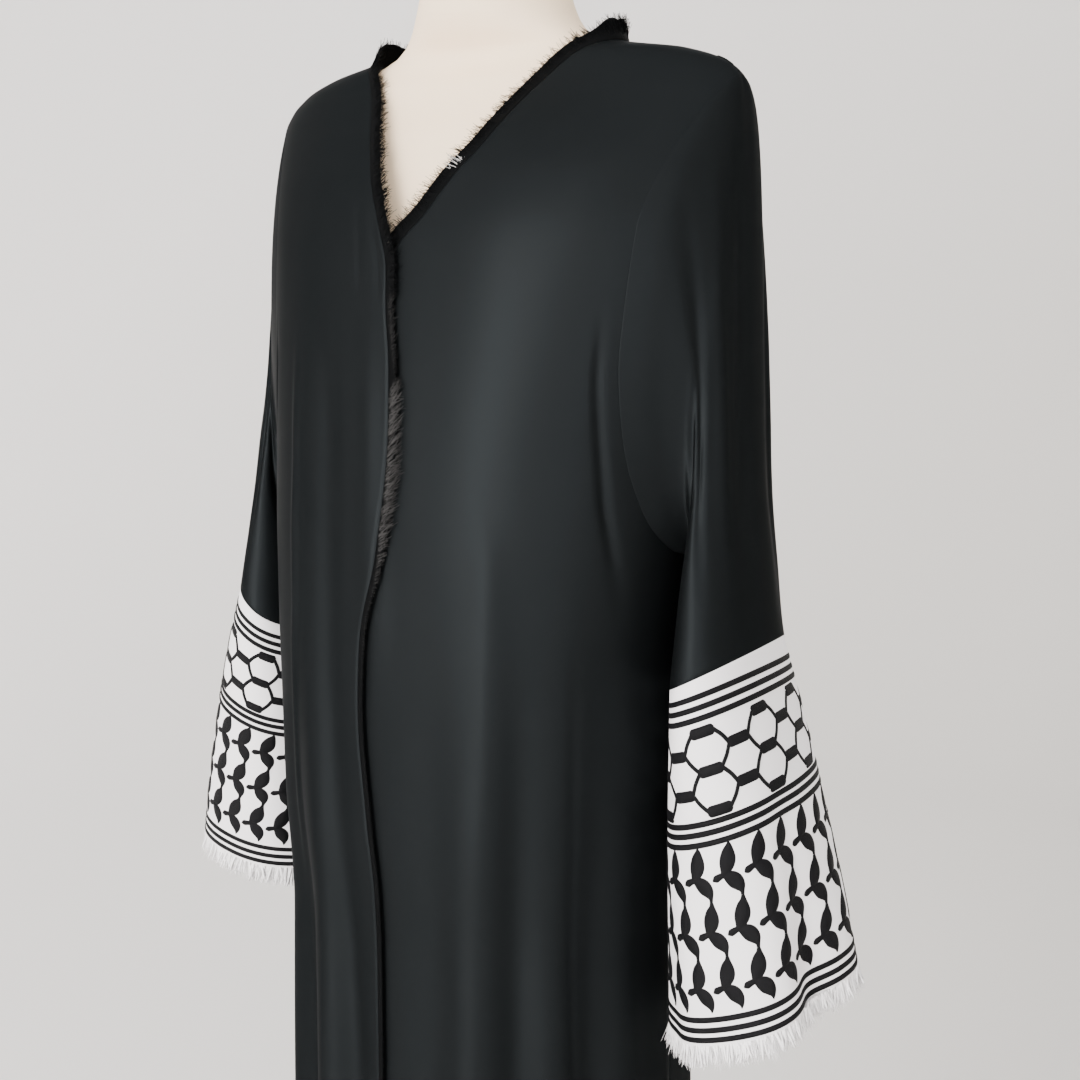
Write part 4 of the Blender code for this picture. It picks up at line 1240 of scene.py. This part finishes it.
def make_sleeve(side_name, side, crepe, white):
    """A sleeve and its cuff."""
    sleeve = make_tube("sleeve_" + side_name, side, (0, CUFF_SEAM_RING), SLEEVE_ROWS, CLOTH_WALL, crepe)
    settle(sleeve, "black_cloth", "sleeve_" + side_name)
    cuff = make_tube("cuff_" + side_name, side, (CUFF_SEAM_RING, CUFF_HEM_RING), CUFF_ROWS, CUFF_WALL, white)
    settle(cuff, "white_cloth", "cuff_" + side_name)
    return sleeve, cuff


# The cuff's pattern. Places are metres round the cuff, counter-clockwise as seen from above, from the line
# farthest from the body, and shares of the way down. Lengths in the net and the vines are in pitches.
PITCH = 0.0235
CUFF_DROP = 0.240
SEAM_MARGIN = 0.0006

# The lines that run round the cuff
LINE_SHARES = [0.058, 0.088, 0.117, 0.392, 0.418, 0.446, 0.926, 0.956, 0.984]
LINE_HALF_WIDTH = 0.0021
LINE_STEPS = 60
# How much lower a line lies for each metre round the cuff, by its share of the way down
LINE_LEAN = {1: [(0.0, 0.155), (0.4, 0.0), (1.0, 0.0)], -1: [(0.0, 0.0), (1.0, 0.0)]}

# The net: columns of two and of three bars by turns, joined by thin lines to the bars beside them
NET_TOP, NET_BOTTOM = 0.117, 0.392
NET_REPEATS = 9
THREE_BARS = (0.115, 0.505, 0.900)
TWO_BARS = (0.305, 0.705)
BAR_HALF_LENGTH = 0.36
BAR_HALF_WIDTH = 0.170
NET_LINE_HALF_WIDTH = 0.062
NET_LINE_OVERLAP = 0.04
NET_LINE_BOW = 0.035
NET_LINE_REACH = 0.3
# How a blunt end widens, as (way in, share of the half width), the way in half widths
BLUNT_ENDS = [(0.00, 0.50), (0.15, 0.76), (0.42, 0.96), (0.75, 1.00), (1.20, 1.00)]

# The vines
VINE_TOP, VINE_BOTTOM = 0.452, 0.906
VINE_REPEATS = 10
VINE_UNITS = 3

# How the net and the vines lie on each side's cuff: the share of the pitch, where a repeat starts and how far
# the band leans from its top to its bottom, both in pitches
Band = namedtuple("Band", "share start lean")
NET_BANDS = {1: Band(1.02, 0.83, 0.0), -1: Band(0.83, -0.35, 0.0)}
VINE_BANDS = {1: Band(0.94, 0.585, 0.25), -1: Band(0.86, 0.47, 0.15)}

# The vine's strokes, as (across, down, half width): across and half width in pitches, down in units
UPPER_LEAF = [
    (0.000, 0.00, 0.045),
    (-0.015, 0.06, 0.070),
    (-0.075, 0.17, 0.160),
    (-0.170, 0.34, 0.215),
    (-0.290, 0.47, 0.165),
    (-0.385, 0.55, 0.080),
    (-0.410, 0.58, 0.050),
]
LOWER_LEAF = [
    (-0.430, 0.555, 0.050),
    (-0.290, 0.605, 0.145),
    (-0.095, 0.720, 0.205),
    (0.005, 0.860, 0.135),
    (0.020, 0.940, 0.060),
    (0.000, 1.000, 0.045),
]
STUB = [
    (-0.350, 0.560, 0.060),
    (-0.550, 0.590, 0.090),
    (-0.700, 0.620, 0.080),
    (-0.765, 0.634, 0.020),
]
LEAF_FULLNESS = 1.12
LEAF_TIP = 0.012

# The stitching: its profile as (across, rise), across in half widths and the rise in metres
STITCH_STEP = 0.0010
STITCH_PROFILE = [(-1.0, -0.00010), (-0.85, 0.00042), (0.0, 0.00070), (0.85, 0.00042), (1.0, -0.00010)]
THINNEST_STITCH = 0.0001
FEWEST_STEPS = 4
FEWEST_PLACES = 3

# The table from places on a cuff to its stations: its rows down, the stations measured in each, and its reach
# and steps round
CUFF_TABLE_ROWS = 61
CUFF_TABLE_STATIONS = 881
CUFF_TABLE_REACH = 0.25
CUFF_TABLE_STEPS = 501


class CuffFace:
    """The outer face of a cuff, by metres round it and share of the way down."""

    def __init__(self, side):
        self.side = side
        self.shares = np.linspace(0, 1, CUFF_TABLE_ROWS)
        self.round = np.linspace(-CUFF_TABLE_REACH, CUFF_TABLE_REACH, CUFF_TABLE_STEPS)
        stations = np.linspace(0, 2 * HALF_STATIONS, CUFF_TABLE_STATIONS)
        face = sleeve_surface(self.number(self.shares)[:, None], stations[None], side)
        arc = arc_lengths(face, 1)
        arc = side * (arc - arc[:, [len(stations) // 2]])
        self.low, self.high = arc.min(1), arc.max(1)
        # On the right side the arc falls along the stations, so both are read backwards
        rising = np.s_[::side]
        self.stations = np.array([np.interp(self.round, row[rising], stations[rising]) for row in arc])

    def number(self, share):
        """The ring number at a share of the way down."""
        return between(CUFF_SEAM_RING, CUFF_HEM_RING, share)

    def ends(self, share):
        """Where the seam's two sides lie, in metres round the cuff."""
        return np.interp(share, self.shares, self.low), np.interp(share, self.shares, self.high)

    def station(self, across, share):
        """The station at metres round the cuff."""
        row = np.clip(share, 0, 1) * (len(self.shares) - 1)
        column = (across - self.round[0]) / (self.round[1] - self.round[0])
        i = np.clip(row.astype(int), 0, len(self.shares) - 2)
        j = np.clip(column.astype(int), 0, len(self.round) - 2)
        table = self.stations
        low = between(table[i, j], table[i, j + 1], column - j)
        high = between(table[i + 1, j], table[i + 1, j + 1], column - j)
        return between(low, high, row - i)

    def inside(self, across, share):
        """Whether places lie on the cuff and not past its seam."""
        low, high = self.ends(share)
        return (across > low + SEAM_MARGIN) & (across < high - SEAM_MARGIN)

    def place(self, across, share, lift=0.0):
        """Points and outward normals on the face, raised by a lift."""
        across, share = np.broadcast_arrays(np.asarray(across, float), np.asarray(share, float))
        station = self.station(across, share)
        number = self.number(share)
        normal = sleeve_facing(sleeve_surface, number, station, self.side)
        point = sleeve_surface(number, station, self.side)
        return point + normal * np.asarray(lift)[..., None], normal


def smooth_line(knots, step):
    """Places along a smooth curve through knots of any number of values, a step apart in the first two."""
    knots = np.array(knots, float)
    along = arc_lengths(knots[:, :2], 0)
    count = max(int(np.ceil(along[-1] / step)), FEWEST_STEPS)
    at = np.linspace(0, along[-1], count + 1)
    slopes = np.gradient(knots, along, axis=0)
    i = np.clip(np.searchsorted(along, at, side="right") - 1, 0, len(along) - 2)
    span = (along[i + 1] - along[i])[:, None]
    t = (at - along[i])[:, None] / span
    return smooth_step(t, span, knots[i], knots[i + 1], slopes[i], slopes[i + 1])


def blunt_bar(start, end, half_width):
    """A straight stroke with blunt ends, as (across, down, half width) knots."""
    start, end = np.array(start, float), np.array(end, float)
    ahead = (end - start) / np.linalg.norm(end - start) * half_width
    first = [(*(start + ahead * along), half_width * share) for along, share in BLUNT_ENDS]
    last = [(*(end - ahead * along), half_width * share) for along, share in reversed(BLUNT_ENDS)]
    return first + last


def net_bar(across, down):
    """A bar of the net, centred on a place."""
    reach = BAR_HALF_LENGTH * PITCH
    return blunt_bar((across - reach, down), (across + reach, down), BAR_HALF_WIDTH * PITCH)


def net_line(across, down, to, far_down):
    """A thin line of the net, from a bar at a place to a bar of the next column to one side."""
    start = np.array([across + to * (BAR_HALF_LENGTH - NET_LINE_OVERLAP) * PITCH, down])
    end = np.array([across + to * (1 + NET_LINE_OVERLAP - BAR_HALF_LENGTH) * PITCH, far_down])
    middle = (start + end) / 2 + np.array([to * NET_LINE_BOW * PITCH, 0])
    width = NET_LINE_HALF_WIDTH * PITCH
    return [(*start, width), (*middle, width), (*end, width)]


def net_strokes():
    """Bars and thin lines of the net, in metres round and down the cuff."""
    top, bottom = NET_TOP * CUFF_DROP, NET_BOTTOM * CUFF_DROP
    bars, lines = [], []
    for k in range(-NET_REPEATS, NET_REPEATS + 1):
        across = k * PITCH
        mine, other = (TWO_BARS, THREE_BARS) if k % 2 else (THREE_BARS, TWO_BARS)
        bars += [net_bar(across, between(top, bottom, share)) for share in mine]
        if k % 2 == 0:
            lines += [
                net_line(across, between(top, bottom, share), to, between(top, bottom, near))
                for share in mine
                for to in (-1, 1)
                for near in other
                if abs(near - share) <= NET_LINE_REACH
            ]
    return bars + lines


def vine_strokes():
    """Leaves and stubs of the vines, in metres round and down the cuff."""
    top, bottom = VINE_TOP * CUFF_DROP, VINE_BOTTOM * CUFF_DROP
    unit_height = (bottom - top) / VINE_UNITS
    leaf_width = PITCH * LEAF_FULLNESS
    strokes = []
    for k in range(-VINE_REPEATS, VINE_REPEATS + 1):
        for n in range(VINE_UNITS):
            for motif in (UPPER_LEAF, LOWER_LEAF, STUB):
                knots = []
                for across, down, width in motif:
                    at_end = n + down in (0, VINE_UNITS)
                    width = (LEAF_TIP if at_end else width) * leaf_width
                    knots.append(((k + across) * PITCH, top + (n + down) * unit_height, width))
                strokes.append(knots)
    return strokes


def placed(strokes, band, top, bottom):
    """The strokes of a band in their places on one side's cuff."""

    def moved(across, down):
        share = (down / CUFF_DROP - top) / (bottom - top)
        return (across + (band.start + band.lean * share) * PITCH) * band.share

    return [[(moved(across, down), down, width) for across, down, width in knots] for knots in strokes]


def stitched(name, face, strokes, look):
    """Raised satin stitch along strokes of (across, down, half width), as one piece."""
    flats, faces, across_uv, along_uv = [], [], [], []
    count = 0
    offsets, lifts = np.array(STITCH_PROFILE).T
    columns = len(offsets)
    for knots in strokes:
        line = smooth_line(knots, STITCH_STEP)
        line = line[face.inside(line[:, 0], line[:, 1] / CUFF_DROP)]
        if len(line) < FEWEST_PLACES:
            continue
        ahead = unit(np.gradient(line[:, :2], axis=0))
        side = np.stack([ahead[:, 1], -ahead[:, 0]], -1)
        reach = offsets * np.maximum(line[:, 2:], THINNEST_STITCH)
        flats.append(line[:, None, :2] + side[:, None] * reach[..., None])
        faces += grid_faces(len(line), columns, False, count)
        across_uv.append(reach.ravel())
        along_uv.append(np.repeat(arc_lengths(line[:, :2], 0), columns))
        count += reach.size
    flat = np.concatenate(flats)
    place, _ = face.place(flat[..., 0], flat[..., 1] / CUFF_DROP, lifts)
    across, along = np.concatenate(across_uv), np.concatenate(along_uv)
    return new_mesh(name, place.reshape(-1, 3), faces, look, across, along)


def line_strokes(face):
    """The lines that run round the cuff."""
    leans = np.array(LINE_LEAN[face.side])
    strokes = []
    for share in LINE_SHARES:
        low, high = face.ends(share)
        lean = np.interp(share, leans[:, 0], leans[:, 1])
        around = np.linspace(low, high, LINE_STEPS)
        turn = math.tau * (around - low) / (high - low)
        sway = lean * (high - low) / math.tau * np.sin(turn - math.pi)
        strokes.append([(a, (share + b) * CUFF_DROP, LINE_HALF_WIDTH) for a, b in zip(around, sway)])
    return strokes


# Loose threads, each a tapered tube. A strand's droop and curl are shares of its length.
THREAD_POINTS = 5
THREAD_TAPER = 0.6
Strand = namedtuple("Strand", "radius flatness droop curl")


def threads(name, roots, directions, normals, lengths, strand, look, random, tones_and_sheen=None):
    """Many fine threads that bend at random. A flat one has four sides and is wider than it is thick."""
    count = len(roots)
    is_round = strand.flatness == 1
    sides = 3 if is_round else 4
    t = np.linspace(0, 1, THREAD_POINTS)
    side = unit(np.cross(directions, normals))
    bend = random.normal(0, strand.curl, (count, 2))
    sway = side * bend[:, :1] + normals * bend[:, 1:] + np.array([0, 0, -strand.droop])
    way = directions[:, None] * t[:, None] + sway[:, None] * (t**2)[:, None]
    path = roots[:, None] + lengths[:, None, None] * way
    width = strand.radius * (1 - THREAD_TAPER * t)
    turn = random.uniform(0, math.tau, count)[:, None] * is_round + np.arange(sides) * math.tau / sides
    ring = side[:, None] * np.cos(turn)[..., None] * strand.flatness
    ring = ring + normals[:, None] * np.sin(turn)[..., None]
    points = path[:, :, None] + ring[:, None] * width[None, :, None, None]
    tube = np.array(grid_faces(THREAD_POINTS, sides, True))
    first = np.arange(count)[:, None] * THREAD_POINTS * sides
    faces = (tube + first[..., None]).reshape(-1, 4).tolist()
    faces += (first + (THREAD_POINTS - 1) * sides + np.arange(sides)).tolist()
    across = np.broadcast_to(np.arange(sides) * strand.radius * strand.flatness, points.shape[:3])
    along = np.broadcast_to((t * lengths[:, None])[..., None], points.shape[:3])
    piece = new_mesh(name, points.reshape(-1, 3), faces, look, across, along)
    if tones_and_sheen is not None:
        tone = piece.data.attributes.new("tone", "FLOAT", "POINT")
        tone.data.foreach_set("value", np.repeat(tones_and_sheen, THREAD_POINTS * sides).astype(np.float32))
    return piece


# The white fringe of a cuff, of fine threads and of flat tufts. Their lean and how far they stand out vary by
# tuft and by thread, in shares of their length.
Fringe = namedtuple("Fringe", "count reach strand")
FINE_FRINGE = Fringe(2000, (0.0110, 0.0175), Strand(0.00020, 1.0, 0.05, 0.10))
FLAT_FRINGE = Fringe(760, (0.0085, 0.0150), Strand(0.00040, 4.0, 0.05, 0.10))
FRINGE_TUFTS = 170
TUFT_LEAN = 0.15
FRINGE_LEAN = 0.09
TUFT_OUT = 0.07
FRINGE_OUT = 0.07
TUFT_LENGTH_SHARE = 0.5
ROOT_DEPTH = 0.001
# Where in the cloth's thickness the threads start, and the steps for measuring down and beside the hem
ROOTS_IN_WALL = (0.1, 0.9)
ABOVE_HEM_SHARE = 0.97
BESIDE_STEP = 0.001


def cuff_threads(name, face, fringe, look, random):
    """The threads below a cuff, in loose tufts that lean and end unevenly."""
    low, high = face.ends(1.0)
    count = fringe.count
    across = np.sort(random.uniform(low, high, count))
    tuft = ((across - low) / (high - low) * FRINGE_TUFTS).astype(int)
    lean = random.normal(0, TUFT_LEAN, FRINGE_TUFTS + 1)[tuft] + random.normal(0, FRINGE_LEAN, count)
    out = random.normal(0, TUFT_OUT, FRINGE_TUFTS + 1)[tuft] + random.normal(0, FRINGE_OUT, count)
    tuft_long = random.uniform(0, 1, FRINGE_TUFTS + 1)[tuft]
    long = between(random.uniform(0, 1, count), tuft_long, TUFT_LENGTH_SHARE)
    hem, normal = face.place(across, 1.0)
    above, _ = face.place(across, ABOVE_HEM_SHARE)
    beside, _ = face.place(across + BESIDE_STEP, 1.0)
    down = unit(hem - above)
    down = unit(down + unit(beside - hem) * lean[:, None] + normal * out[:, None])
    depth = random.uniform(*ROOTS_IN_WALL, count)[:, None] * CUFF_WALL
    roots = hem - normal * depth - down * ROOT_DEPTH
    lengths = between(*fringe.reach, long) + ROOT_DEPTH
    return threads(name, roots, down, normal, lengths, fringe.strand, look, random)


def make_trimmings(side_name, side, stitch, thread, random):
    """The pattern and the fringe of one cuff."""
    name = "cuff_" + side_name
    face = CuffFace(side)
    strokes = line_strokes(face)
    strokes += placed(net_strokes(), NET_BANDS[side], NET_TOP, NET_BOTTOM)
    strokes += placed(vine_strokes(), VINE_BANDS[side], VINE_TOP, VINE_BOTTOM)
    pattern = stitched(name + "_pattern", face, strokes, stitch)
    fringe = cuff_threads(name + "_fringe", face, FINE_FRINGE, thread, random)
    tufts = cuff_threads(name + "_tufts", face, FLAT_FRINGE, thread, random)
    settle(pattern, "black_cloth")
    settle(fringe, "white_cloth", "cuff_fringe_" + side_name)
    settle(tufts, "white_cloth")
    return [pattern, fringe, tufts]


# The frayed trim along the right front, the back neck and the left neckline, and its standing collar
TRIM_WALL = 0.0008
TRIM_STEP = 0.0025
TRIM_COLUMNS = 5
LEFT_TRIM_BOTTOM = 1.281
LEFT_STRIP_EXTRA = 0.0030
COLLAR_STRIP_WIDTH = 0.0160
COLLAR_UNEVENNESS = 0.0022
COLLAR_WAVES = (86.0, 159.1)
COLLAR_WAVE_START = 1.0
COLLAR_STAND = 1.3
COLLAR_START = 0.040
COLLAR_BOTTOM = 1.400
COLLAR_RISE = 0.030

# The trim's loose threads, and how unevenly they start, lean, stand out and end, one by one and by clumps
TRIM_THREAD_STEP = 0.00024
TRIM_STRAND = Strand(0.00026, 1.0, 0.0, 0.12)
CLUMP_LENGTH = 0.0022
CLUMP_LEAN = 0.18
CLUMP_REACH = 0.12
CLUMP_LIMITS = (-1.5, 1.5)
TRIM_LEAN = 0.16
TRIM_START = (0.0, 0.6)
LAST_START = 0.95
TRIM_OUT = 0.05
TRIM_OUT_SPREAD = 0.12
TRIM_REACH = (0.55, 1.1)
# How unevenly the painted sheen of the trim's threads is spread
TRIM_TONE_AND_SHEEN_SPREAD = (0.3, 1.4)

# A few light threads on the left neckline
LIGHT_THREADS_HEIGHT = 1.345
LIGHT_THREADS_SPREAD = 0.005
LIGHT_THREADS_SHARE = 0.3
LIGHT_THREADS_TONE = 0.9

# By height: the strip's width, where on it the threads start, how long they are, how many there are, how far
# they slant up and how light they are, which is painted sheen, strongest from 1.09 to 1.19 m
Fray = namedtuple("Fray", "height strip start reach density lean tone")
FRAYS = [
    Fray(0.045, 0.0040, 0.80, 0.0030, 0.25, 0.20, 0.002),
    Fray(0.960, 0.0040, 0.80, 0.0030, 0.25, 0.20, 0.002),
    Fray(1.060, 0.0050, 0.60, 0.0045, 0.50, 0.50, 0.022),
    Fray(1.090, 0.0060, 0.25, 0.0085, 0.85, 0.90, 0.060),
    Fray(1.105, 0.0065, 0.02, 0.0120, 1.00, 0.80, 0.075),
    Fray(1.192, 0.0065, 0.02, 0.0120, 1.00, 0.70, 0.075),
    Fray(1.204, 0.0055, 0.70, 0.0045, 0.70, 0.40, 0.004),
    Fray(1.230, 0.0055, 0.35, 0.0055, 0.70, 0.50, 0.030),
    Fray(1.252, 0.0055, 0.35, 0.0055, 0.70, 0.50, 0.030),
    Fray(1.262, 0.0070, 0.40, 0.0070, 1.00, 0.15, 0.002),
    Fray(1.300, 0.0078, 0.30, 0.0100, 1.00, 0.12, 0.002),
    Fray(1.443, 0.0078, 0.30, 0.0100, 1.00, 0.12, 0.002),
]
FRAY = profiles(FRAYS, "strip start reach density lean tone")


def collar_share(place):
    """How much the trim stands up as a collar: not at all on the fronts, and fully behind the neck."""
    behind = ease((place[..., 1] + COLLAR_START) / COLLAR_START)
    return behind * ease((place[..., 2] - COLLAR_BOTTOM) / COLLAR_RISE)


def edge_stretches(grids):
    """The (place, normal) rows of each stretch of the trimmed edge, from the right hem to the left front."""
    angle, height, layer = grids["front_right"]
    right = (angle[:, 0], height[:, 0], layer)
    angle, height, layer = grids["back"]
    neck = round(BACK_COLUMNS * SHOULDER_SHARE)
    back = (angle[-1, neck:-neck][::-1], height[-1, neck:-neck][::-1], layer)
    angle, height, layer = grids["front_left"]
    rows = height[:, 0] > LEFT_TRIM_BOTTOM
    left = (angle[rows, 0][::-1], height[rows, 0][::-1], layer)
    return {
        name: (body_surface(*stretch), body_facing(*stretch))
        for name, stretch in (("trim_right", right), ("trim_back_neck", back), ("trim_left", left))
    }


def rows_at(values, along, at):
    """The rows of values at other places along a line."""
    return np.stack([np.interp(at, along, column) for column in values.T], -1)


def trim_frame(place, normal):
    """Even steps along a stretch: places, ways along, ways across and normals."""
    along = arc_lengths(place, 0)
    at = np.linspace(0, along[-1], int(along[-1] / TRIM_STEP) + 1)
    place = rows_at(place, along, at)
    normal = unit(rows_at(normal, along, at))
    ahead = unit(np.gradient(place, axis=0))
    across = np.cross(ahead, normal)
    across = unit(across + COLLAR_STAND * collar_share(place)[:, None] * np.cross(across, ahead))
    return at, place, ahead, across, np.cross(across, ahead)


def make_trim(name, stretch, look, random):
    """One stretch of the trim: a narrow strip with loose threads along it."""
    at, place, ahead, across, out = trim_frame(*stretch)
    fray = {column: profile(place[:, 2]) for column, profile in FRAY.items()}
    extra = LEFT_STRIP_EXTRA if name == "trim_left" else 0.0
    sway = np.sin(at * COLLAR_WAVES[0]) * np.sin(at * COLLAR_WAVES[1] + COLLAR_WAVE_START)
    collar_width = COLLAR_STRIP_WIDTH + COLLAR_UNEVENNESS * sway
    width = between(fray["strip"] + extra, collar_width, collar_share(place))
    steps = SEAM_GAP + np.linspace(0, 1, TRIM_COLUMNS) * width[:, None]
    outer = place[:, None] + across[:, None] * steps[..., None] - out[:, None] * SEAM_GAP
    strip = cloth_shell(name + "_strip", outer, np.broadcast_to(out[:, None], outer.shape), TRIM_WALL, look)
    settle(strip, "black_cloth", name)
    frays = trim_threads(name, at, (place, ahead, across, out), width, fray, look, random)
    settle(frays, "black_cloth")
    return [strip, frays]


def trim_threads(name, at, frame, width, fray, look, random):
    """The loose threads of one stretch of the trim, from its frame, width and fray at even steps."""
    where = random.uniform(0, at[-1], int(at[-1] / TRIM_THREAD_STEP))
    where = where[random.uniform(0, 1, len(where)) < np.interp(where, at, fray["density"])]
    count = len(where)
    place, ahead, across, out = (rows_at(values, at, where) for values in frame)
    width = np.interp(where, at, width)
    fray = {column: np.interp(where, at, values) for column, values in fray.items()}
    clump = random.normal(0, 1, int(at[-1] / CLUMP_LENGTH) + 2)[(where / CLUMP_LENGTH).astype(int)]
    lean = fray["lean"] + clump * CLUMP_LEAN + random.normal(0, TRIM_LEAN, count)
    start = width * np.clip(between(fray["start"], 1.0, random.uniform(*TRIM_START, count)), 0, LAST_START)
    lift = TRIM_OUT + random.normal(0, TRIM_OUT_SPREAD, count)
    way = unit(across + ahead * lean[:, None] + out * lift[:, None])
    roots = place + across * start[:, None] - out * TRIM_WALL / 2
    by_clump = 1 + CLUMP_REACH * np.clip(clump, *CLUMP_LIMITS)
    lengths = fray["reach"] * random.uniform(*TRIM_REACH, count) * by_clump
    # The threads' painted sheen, and a few light threads on the left neckline
    tones_and_sheen = fray["tone"] * random.uniform(*TRIM_TONE_AND_SHEEN_SPREAD, count)
    light = np.abs(place[:, 2] - LIGHT_THREADS_HEIGHT) < LIGHT_THREADS_SPREAD
    light = light & (name == "trim_left") & (random.uniform(0, 1, count) < LIGHT_THREADS_SHARE)
    tones_and_sheen = np.where(light, LIGHT_THREADS_TONE, tones_and_sheen)
    return threads(name + "_threads", roots, way, unit(out), lengths, TRIM_STRAND, look, random, tones_and_sheen)


# Where the form's faces meet more sharply than this, in degrees, their edge is left sharp
FORM_SHARP_ANGLE = 50


def make_form(canvas):
    """The dress form's torso and neck, closed above and below."""
    heights = np.linspace(FORM_SECTIONS[0].height, FORM_SECTIONS[-1].height, FORM_ROWS + 1)
    angles = np.linspace(-180, 180, FORM_COLUMNS, endpoint=False)
    rings = ring_place(FORM, angles[None], heights[:, None])
    faces = grid_faces(len(heights), FORM_COLUMNS, True)
    faces.append(tuple(reversed(range(FORM_COLUMNS))))
    first = (len(heights) - 1) * FORM_COLUMNS
    faces.append(tuple(range(first, first + FORM_COLUMNS)))
    form = new_mesh("form_torso_canvas", rings.reshape(-1, 3), faces, canvas)
    turn_out(form)
    form.data.set_sharp_from_angle(angle=math.radians(FORM_SHARP_ANGLE))
    settle(form, "cream_canvas", "form_torso")


# The size of each piece of cloth as it was cut, in metres and square metres
Cut = namedtuple("Cut", "width length area")


for old in list(bpy.data.objects):
    bpy.data.objects.remove(old)
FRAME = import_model()
CREPE = black_crepe()
WHITE = white_cuff_cloth()
STEEL = painted_steel()
make_camera()
make_studio()
light_studio()
PANEL_GRIDS = body_grids()
PANELS = make_body(PANEL_GRIDS, CREPE)
SLEEVES = {}
CUFFS = {}
for side_name, side_sign in SIDES.items():
    SLEEVES[side_name], CUFFS[side_name] = make_sleeve(side_name, side_sign, CREPE, WHITE)
make_form(cream_canvas())
RANDOM = np.random.default_rng(SEED)
STITCH = black_stitch()
THREAD = white_thread()
for side_name, side_sign in SIDES.items():
    make_trimmings(side_name, side_sign, STITCH, THREAD, RANDOM)
YARN = frayed_black()
for trim_name, stretch in edge_stretches(PANEL_GRIDS).items():
    make_trim(trim_name, stretch, YARN, RANDOM)
for node in ("stand_pole", "stand_base"):
    FRAME["nodes"][node].data.materials.clear()
    FRAME["nodes"][node].data.materials.append(STEEL)
